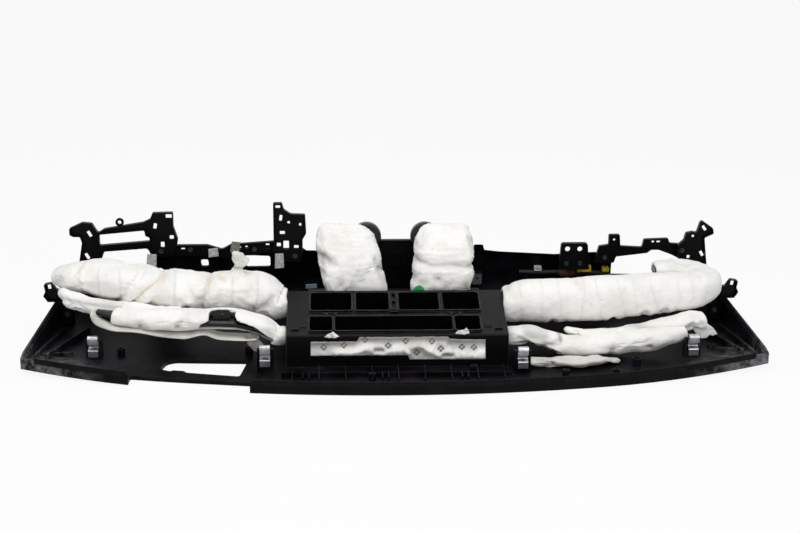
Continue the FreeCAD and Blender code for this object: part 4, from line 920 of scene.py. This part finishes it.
# %% Welded strip
STRIP = [(-173, 33), (20, 33), (24, 24), (175, 24), (175, 64), (104, 66), (100, 71), (-76, 71),
         (-82, 62), (-173, 62)]
WELDS = [(-147, 51), (-107, 55), (-65, 66), (-19, 54), (16, 63), (38, 39), (68, 62), (86, 47),
         (128, 50), (152, 49)]
OVALS = [[(-44, 45), (-30, 45)], [(92, 33), (108, 33)]]
PUFFED = [(-122, 40), (-84, 42), (-60, 47), (-38, 42), (-8, 42), (14, 46), (24, 40), (27, 50),
          (40, 56), (53, 50), (60, 44), (84, 36), (110, 33), (150, 33), (172, 32)]
PILLOW_RISE, PILLOW_REACH = 12.0, 9.5
WELD_REACH, WELD_RIM = 8.5, 12.0
OVAL_REACH = 6.0


def strip_height(x, z):
    """Height of the pillows over the sheet, down to nothing at each weld."""
    roll = math.exp(-(line_gap(x, z, PUFFED) / PILLOW_REACH) ** 2)
    rise = PILLOW_RISE * roll * (0.8 + 0.35 * noise.noise(Vector((x / 17, z / 15, 2))))
    for weld in WELDS:
        gap = math.hypot(x - weld[0], z - weld[1])
        rise *= 1 - math.exp(-(gap / WELD_REACH) ** 2)
        rise += 0.7 * math.exp(-((gap - WELD_RIM) / 4) ** 2)
    for oval in OVALS:
        rise *= 1 - 0.9 * math.exp(-(line_gap(x, z, oval) / OVAL_REACH) ** 2)
    rise += 1.0 * noise.noise(Vector((x / 6, z / 9, 5)))
    rise += 0.9 * roll * math.sin(x / 2.6 + 1.5 * math.sin(x / 9))
    low_edge = 24 if x > 22 else 33
    edge = min(abs(z - low_edge), 3) / 3
    return max(0.0, rise * (0.6 + 0.4 * edge)) + 0.4


strip = cut_sheet("welded_fleece_strip", STRIP, -147.5, 1.6, strip_height)
# The weld slots are not cut: each is a dark line of painted shade on the fleece.
ARM, HALF_SLOT = 4.2, 1.0
slots = []
for x, z in WELDS:
    for arm in (-ARM, ARM):
        slots += [[(x + arm, z - HALF_SLOT), (x + arm, z + HALF_SLOT)],
                  [(x - HALF_SLOT, z + arm), (x + HALF_SLOT, z + arm)]]
# Grey along the top edge under the manifold's rim, in the weld hollows and in the ovals is painted
# shade.
shaded_top_edge = [[(-173, 58), (-90, 60), (-76, 68), (100, 69), (104, 62), (175, 61)]]
mark(strip, "dirt_and_shade", shaded_top_edge, 9, 0.75)
mark(strip, "dirt_and_shade", [[weld] for weld in WELDS], 8, 0.42)
mark(strip, "dirt_and_shade", OVALS, 4.5, 0.75)
mark(strip, "dirt_and_shade", slots, 1.7, 1.6)
mark(strip, "stain", [[(-118, 52), (-100, 60), (-60, 62)], [(10, 55), (70, 56)]], 3, 0.2)
worn(strip, white_fleece, "insulation_strip", fill=0.4)
thick(strip, 2.2)

# %% [markdown]
# ### Felt tags
# Five felts keep the brackets from rattling. Each is a die-cut patch that was pressed on by hand,
# so it sits a little askew, and its face is slightly uneven.

# %% Felt tags
BRACKET_FRONT, BRACKET_BACK, CLIP_FACE = 203.0, 215.0, 250.0
TAGS = [("tag_outer", -523, 134, 22, 30, BRACKET_FRONT, 4, felt_white),
        ("tag_rail", -390, 148, 22, 20, BRACKET_BACK, -4, felt_white),
        ("tag_slanted", -342, 160, 20, 26, BRACKET_BACK, 8, felt_olive),
        ("tag_column", -246, 132, 20, 34, BRACKET_FRONT, 0, felt_white),
        ("tag_low", -178, 60, 26, 11, CLIP_FACE, 0, felt_blue)]
for name, x, z, width, height, face, turn, finish in TAGS:
    half_w, half_h = width / 2, height / 2
    c, s = math.cos(math.radians(turn)), math.sin(math.radians(turn))
    corners = [(x + a * c + b * s, z - a * s + b * c) for a, b in (
        (-half_w, -half_h), (half_w, -half_h + 1), (half_w - 0.8, half_h), (-half_w + 1, half_h - 1))]
    tag = cut_sheet(name, corners, face - 1.5, 1.5, lambda x, z: (
        0.6 + 0.8 * noise.noise(Vector((x / 7, z / 7, 1)))))
    mark(tag, "dirt_and_shade", [[(x + 1, z - height * 0.28), (x + 3, z - height * 0.1)]], 1.8, 1.2)
    dressed(tag, finish, "felt", "felt_tags")
    thick(tag, 1.6)

# %% [markdown]
# ### Corner, film and scraps
# Offcuts of fleece that curl where nothing holds them. A height that follows a smooth noise
# gives each its own curl.

# %% Corner, film and scraps
CUTS = [
    ("soft_corner", [(602, 70), (616, 72), (636, 70), (652, 58), (662, 44), (652, 40), (646, 43),
                     (640, 36), (626, 35), (612, 52)], -61, 2.5, white_fleece,
     ("passenger_fleece_corner",), lambda x, z: 1.5 + 2.5 * noise.noise(Vector((x / 18, z / 14, 3)))),
    ("film_flap", [(-304, 60), (-297, 68), (-284, 62), (-268, 46), (-262, 30), (-276, 28),
                   (-290, 34), (-300, 46)], -112, 2.0, film, (),
     lambda x, z: 3 * noise.noise(Vector((x / 16, z / 12, 9))) + (z - 48) * -0.15),
    ("scrap_left", [(-146, 72), (-140, 78), (-128, 84), (-122, 78), (-116, 74), (-124, 70),
                    (-136, 70)], -146.5, 1.6, white_fleece, (),
     lambda x, z: 3.5 + 3 * noise.noise(Vector((x / 7, z / 6, 4)))),
    ("scrap_right", [(114, 78), (120, 84), (132, 86), (136, 91), (140, 84), (143, 78), (130, 76)],
     -146.5, 1.6, white_fleece, (), lambda x, z: 3.5 + 3 * noise.noise(Vector((x / 7, z / 6, 8))))]
for name, corners, y, pitch, finish, nodes, height in CUTS:
    cut = cut_sheet(name, corners, y, pitch, height)
    # Each piece is darker along the cut from its first to its last corner.
    mark(cut, "dirt_and_shade", [[corners[0], corners[-1]]], 4, 0.4)
    worn(cut, finish, *nodes, fill=0.3)
    thick(cut, 1.8, 1)

# %% [markdown]
# ### The hanging edge
# The welded edge of the driver's demister wrap hangs below it in waves: a very flat closed tube.

# %% Hanging edge
EDGE_LINE = [(-610, 108), (-603, 93), (-585, 83), (-560, 76), (-520, 73.5), (-470, 64), (-425, 60),
             (-392, 67), (-380, 66), (-362, 59), (-335, 56), (-300, 55), (-281, 56)]
edge = tube("hanging_edge", [(x, -90, z - 0.5, 23, 3.4) for x, z in EDGE_LINE],
            ends=("closed", "closed"), ring=40, pitch=5.0, slim=0.2)
lumpy(edge, 0.9, 18, 4.2)
# Grey along its lower side is painted shade.
mark(edge, "dirt_and_shade", [[(x, z - 2) for x, z in EDGE_LINE[:-4]]], 3, 0.35)
worn(edge, grey_fleece, "driver_fleece_edge", fill=0.3)

# %% [markdown]
# ### The knot
# The side wrap is tied at its knee. Above the tie the fleece flares into a tuft, which is fluted
# by the pull of the tie and ragged at its top.

# %% Knot
FLUTES = 9
KNOT_HEIGHT = 160.0
KNOT = [(-328, 34, 146, 20, 18), (-326, 33, 158, 13, 12), (-324, 32, 166, 8.5, 8),
        (-322, 31, 172, 10, 9), (-320, 29, 180, 15, 12), (-317, 27, 190, 19, 13)]
knot = tube("tied_tuft", KNOT, side=SIDEWAYS, ends=("closed", "closed"), ring=48, pitch=2.5,
            slim=0.5)
place, normal = points_of(knot)
for i in range(len(place)):
    height = max(0.0, (place[i][2] - KNOT_HEIGHT) / 30)
    around = math.atan2(place[i][1] - 31, place[i][0] + 323)
    place[i] += normal[i] * (1.6 * math.sin(around * FLUTES) * min(1, 0.4 + height))
    place[i][2] += 7 * height * noise.noise(Vector((around * 1.6, 0.3, 2)))
put_points(knot, place)
lumpy(knot, 2.2, 8, 9.0)
# Grey at the tie is painted shade in its pinch; the second line darkens the top of the tuft.
mark(knot, "dirt_and_shade", [[(-334, 167), (-314, 167)]], 4, 0.5)
mark(knot, "dirt_and_shade", [[(-334, 192), (-306, 190)]], 7, 0.35)
worn(knot, white_fleece, fill=0.5)

# %% [markdown]
# ### The taped bundle
# The harness is wound with brown cloth tape where its branches meet, in a fat uneven bulge. A
# wave that climbs as it goes round gives the overlap of each turn.

# %% Taped bundle
bundle = tube("taped_bundle", [(373, 253, 88, 6.5, 6.5), (380, 252, 89, 9, 9),
                               (392, 251, 89, 12, 10.5), (404, 250, 91, 10, 9.5),
                               (412, 250, 92, 6.5, 6.5)], ends=("closed", "closed"), ring=40,
              pitch=2.0, slim=0.5)
place, normal = points_of(bundle)
for i in range(len(place)):
    around = math.atan2(place[i][2] - 89, place[i][1] - 251)
    place[i] += normal[i] * 0.5 * math.sin(place[i][0] * 0.9 + around)
put_points(bundle, place)
dressed(bundle, cloth_tape, "cloth_tape", "harness_tape")

# %% [markdown]
# ## Small hard parts
# The round lips of the two centre ducts show black beside their fleece. Each is a short cylinder
# whose rims are bevelled, turned to face the back.

# %% Duct lips
LIP_RADIUS, LIP_DEPTH = 31, 24
LIP_Y, LIP_Z = 134, 204
for label, middle in (("left", -57), ("right", 67)):
    bm = bmesh.new()
    bmesh.ops.create_cone(bm, cap_ends=True, segments=48, radius1=LIP_RADIUS,
                          radius2=LIP_RADIUS, depth=LIP_DEPTH)
    caps = [e for e in bm.edges if len({round(v.co.z) for v in e.verts}) == 1]
    bmesh.ops.bevel(bm, geom=caps, offset=5, segments=4, affect="EDGES", profile=0.5,
                    material=-1)
    bmesh.ops.rotate(bm, verts=bm.verts[:], matrix=Matrix.Rotation(math.radians(90), 3, "X"))
    bmesh.ops.translate(bm, verts=bm.verts[:], vec=(middle, LIP_Y, LIP_Z))
    bmesh.ops.scale(bm, verts=bm.verts[:], vec=(MM, MM, MM))
    bmesh.ops.recalc_face_normals(bm, faces=bm.faces[:])
    lip = kept(bm, "centre_duct_lip_" + label)
    dressed(lip, duct_black, "duct_plastic")

# %% [markdown]
# ### Fittings on the manifold
# Tabs, a post between the rear ports, small pegs and end ribs stand on the manifold's tilted top.
# They are bevelled blocks, laid out flat and then tilted together, so that all sit on it.

# %% Manifold fittings
SUNK = -1


def block(bm, x_low, x_high, y_low, y_high, z_high, soft=0.8):
    """One bevelled block added to a mesh, its foot sunk a little into the manifold's top."""
    made = bmesh.ops.create_cube(bm, size=1)["verts"]
    bmesh.ops.scale(bm, verts=made, vec=(x_high - x_low, y_high - y_low, z_high - SUNK))
    bmesh.ops.translate(bm, verts=made, vec=(
        (x_low + x_high) / 2, (y_low + y_high) / 2, (SUNK + z_high) / 2))
    rim = list({e for v in made for e in v.link_edges})
    bmesh.ops.bevel(bm, geom=rim, offset=soft, segments=2, affect="EDGES", profile=0.5,
                    material=-1)


TILT = math.radians(12)
TOP_EDGE = (0, -132, 76)
REAR_START, REAR_END = 85.0, 159.0
ROW_MIDDLE = 72.5
bm = bmesh.new()
for low, high in ((-150, -116), (104, 138)):
    block(bm, low, high, ROW_MIDDLE - 5, ROW_MIDDLE - 3, 2.5)
    block(bm, low, high, ROW_MIDDLE + 3, ROW_MIDDLE + 5, 2.5)
    block(bm, low + 6, low + 10, ROW_MIDDLE - 5, ROW_MIDDLE + 5, 3.5)
    block(bm, high - 10, high - 6, ROW_MIDDLE - 5, ROW_MIDDLE + 5, 3.5)
for low, high in ((-10.5, -8), (0, 2.5)):
    block(bm, low, high, REAR_START - 2, REAR_END + 2, 5)
for along in (REAR_START + 2, (REAR_START + REAR_END) / 2, REAR_END - 6):
    block(bm, -10.5, 2.5, along, along + 3.5, 4.5)
block(bm, -13, 5, REAR_START - 7, REAR_START - 3, 4)
for x in (-193, -188, -183, 178, 183, 188):
    for y in (22, 27, 32):
        block(bm, x - 1.6, x + 1.6, y - 1.6, y + 1.6, 2.2, 0.4)
for low, high in ((-212, -196), (196, 212)):
    block(bm, low, high, 10, 13, 3)
bmesh.ops.rotate(bm, verts=bm.verts[:], matrix=Matrix.Rotation(TILT, 3, "X"))
bmesh.ops.translate(bm, verts=bm.verts[:], vec=TOP_EDGE)
bmesh.ops.scale(bm, verts=bm.verts[:], vec=(MM, MM, MM))
fittings = kept(bm, "manifold_fittings", False)
dressed(fittings, manifold_black, "manifold_moulding")

# %% [markdown]
# ## Floor and light
# A white sweep and soft lamps, as in a parts photograph. The white comes from the sweep's own
# colour for the camera, so the lamps can stay low and the fleece keeps its shading.

# %% Floor
def seen_directly(tree):
    """1 where the camera, a reflection or glass sees the stage, 0 where it only gives light."""
    ray = add(tree, "ShaderNodeLightPath").outputs
    seen = ray["Is Camera Ray"]
    for kind in ("Is Glossy Ray", "Is Transmission Ray"):
        seen = add(tree, "ShaderNodeMath", {"operation": "MAXIMUM"}, {0: seen, 1: ray[kind]})
        seen = seen.outputs[0]
    return seen


def stage_white():
    """A pale floor that looks white to the camera and still takes the object's shadow."""
    material, tree, shader, place = started("studio_floor")
    share = add(tree, "ShaderNodeMath", {"operation": "MULTIPLY"}, {
        0: seen_directly(tree), 1: 0.9})
    glow = add(tree, "ShaderNodeEmission", None, {"Color": (1, 1, 1, 1), "Strength": 1.0})
    mottle = between(tree, spots(tree, place, 400).outputs[0], 0.3, 0.7,
                     linear("#F2F2F2"), linear("#EDEDED"))
    tree.links.new(mottle, shader.inputs["Base Color"])
    shader.inputs["Roughness"].default_value = 0.9
    mixed = add(tree, "ShaderNodeMixShader", None, {
        0: share.outputs[0], 1: shader.outputs[0], 2: glow.outputs[0]})
    tree.links.new(mixed.outputs[0], tree.nodes["Material Output"].inputs["Surface"])
    return material


FLOOR_HALF = 14.0
FLOOR_GAP = 0.0005
bm = bmesh.new()
bmesh.ops.create_grid(bm, x_segments=2, y_segments=2, size=FLOOR_HALF)
bmesh.ops.translate(bm, verts=bm.verts[:], vec=(0, 0, cad_box[0][2] - FLOOR_GAP))
floor = kept(bm, "studio_floor", False)
floor.data.materials.append(stage_white())
print("floor", 2 * FLOOR_HALF, "m square")

# %% [markdown]
# ### Light
# A pale world lights the object evenly from all sides and stays white to the camera. Two wide
# lamps above and in front add the soft shading that shows the folds of the fleece.

# %% Light
world = bpy.data.worlds.new("studio")
scene.world = world
world.use_nodes = True
sky = world.node_tree
sky.nodes.clear()
strength = level(sky, seen_directly(sky), 0.0, 1.0, 0.45, 1.0)
glow = add(sky, "ShaderNodeBackground", None, {"Color": (1, 1, 1, 1), "Strength": strength})
add(sky, "ShaderNodeOutputWorld", None, {"Surface": glow.outputs[0]})


def softbox(name, place, target, size, watts):
    """A large square lamp that looks at a point."""
    lamp = bpy.data.lights.new(name, "AREA")
    lamp.shape = "RECTANGLE"
    lamp.size, lamp.size_y = size
    lamp.energy = watts
    holder = bpy.data.objects.new(name, lamp)
    holder.location = place
    holder.rotation_euler = (Vector(target) - Vector(place)).to_track_quat("-Z", "Y").to_euler()
    scene.collection.objects.link(holder)


softbox("softbox_above", (-0.3, -0.7, 2.3), (0, 0, 0.1), (2.4, 1.4), 30)
softbox("softbox_front", (1.2, -3.0, 1.5), (0, 0, 0.1), (1.6, 1.2), 22)
scene.view_settings.view_transform = "Standard"
print("lamps:", len(bpy.data.lights))
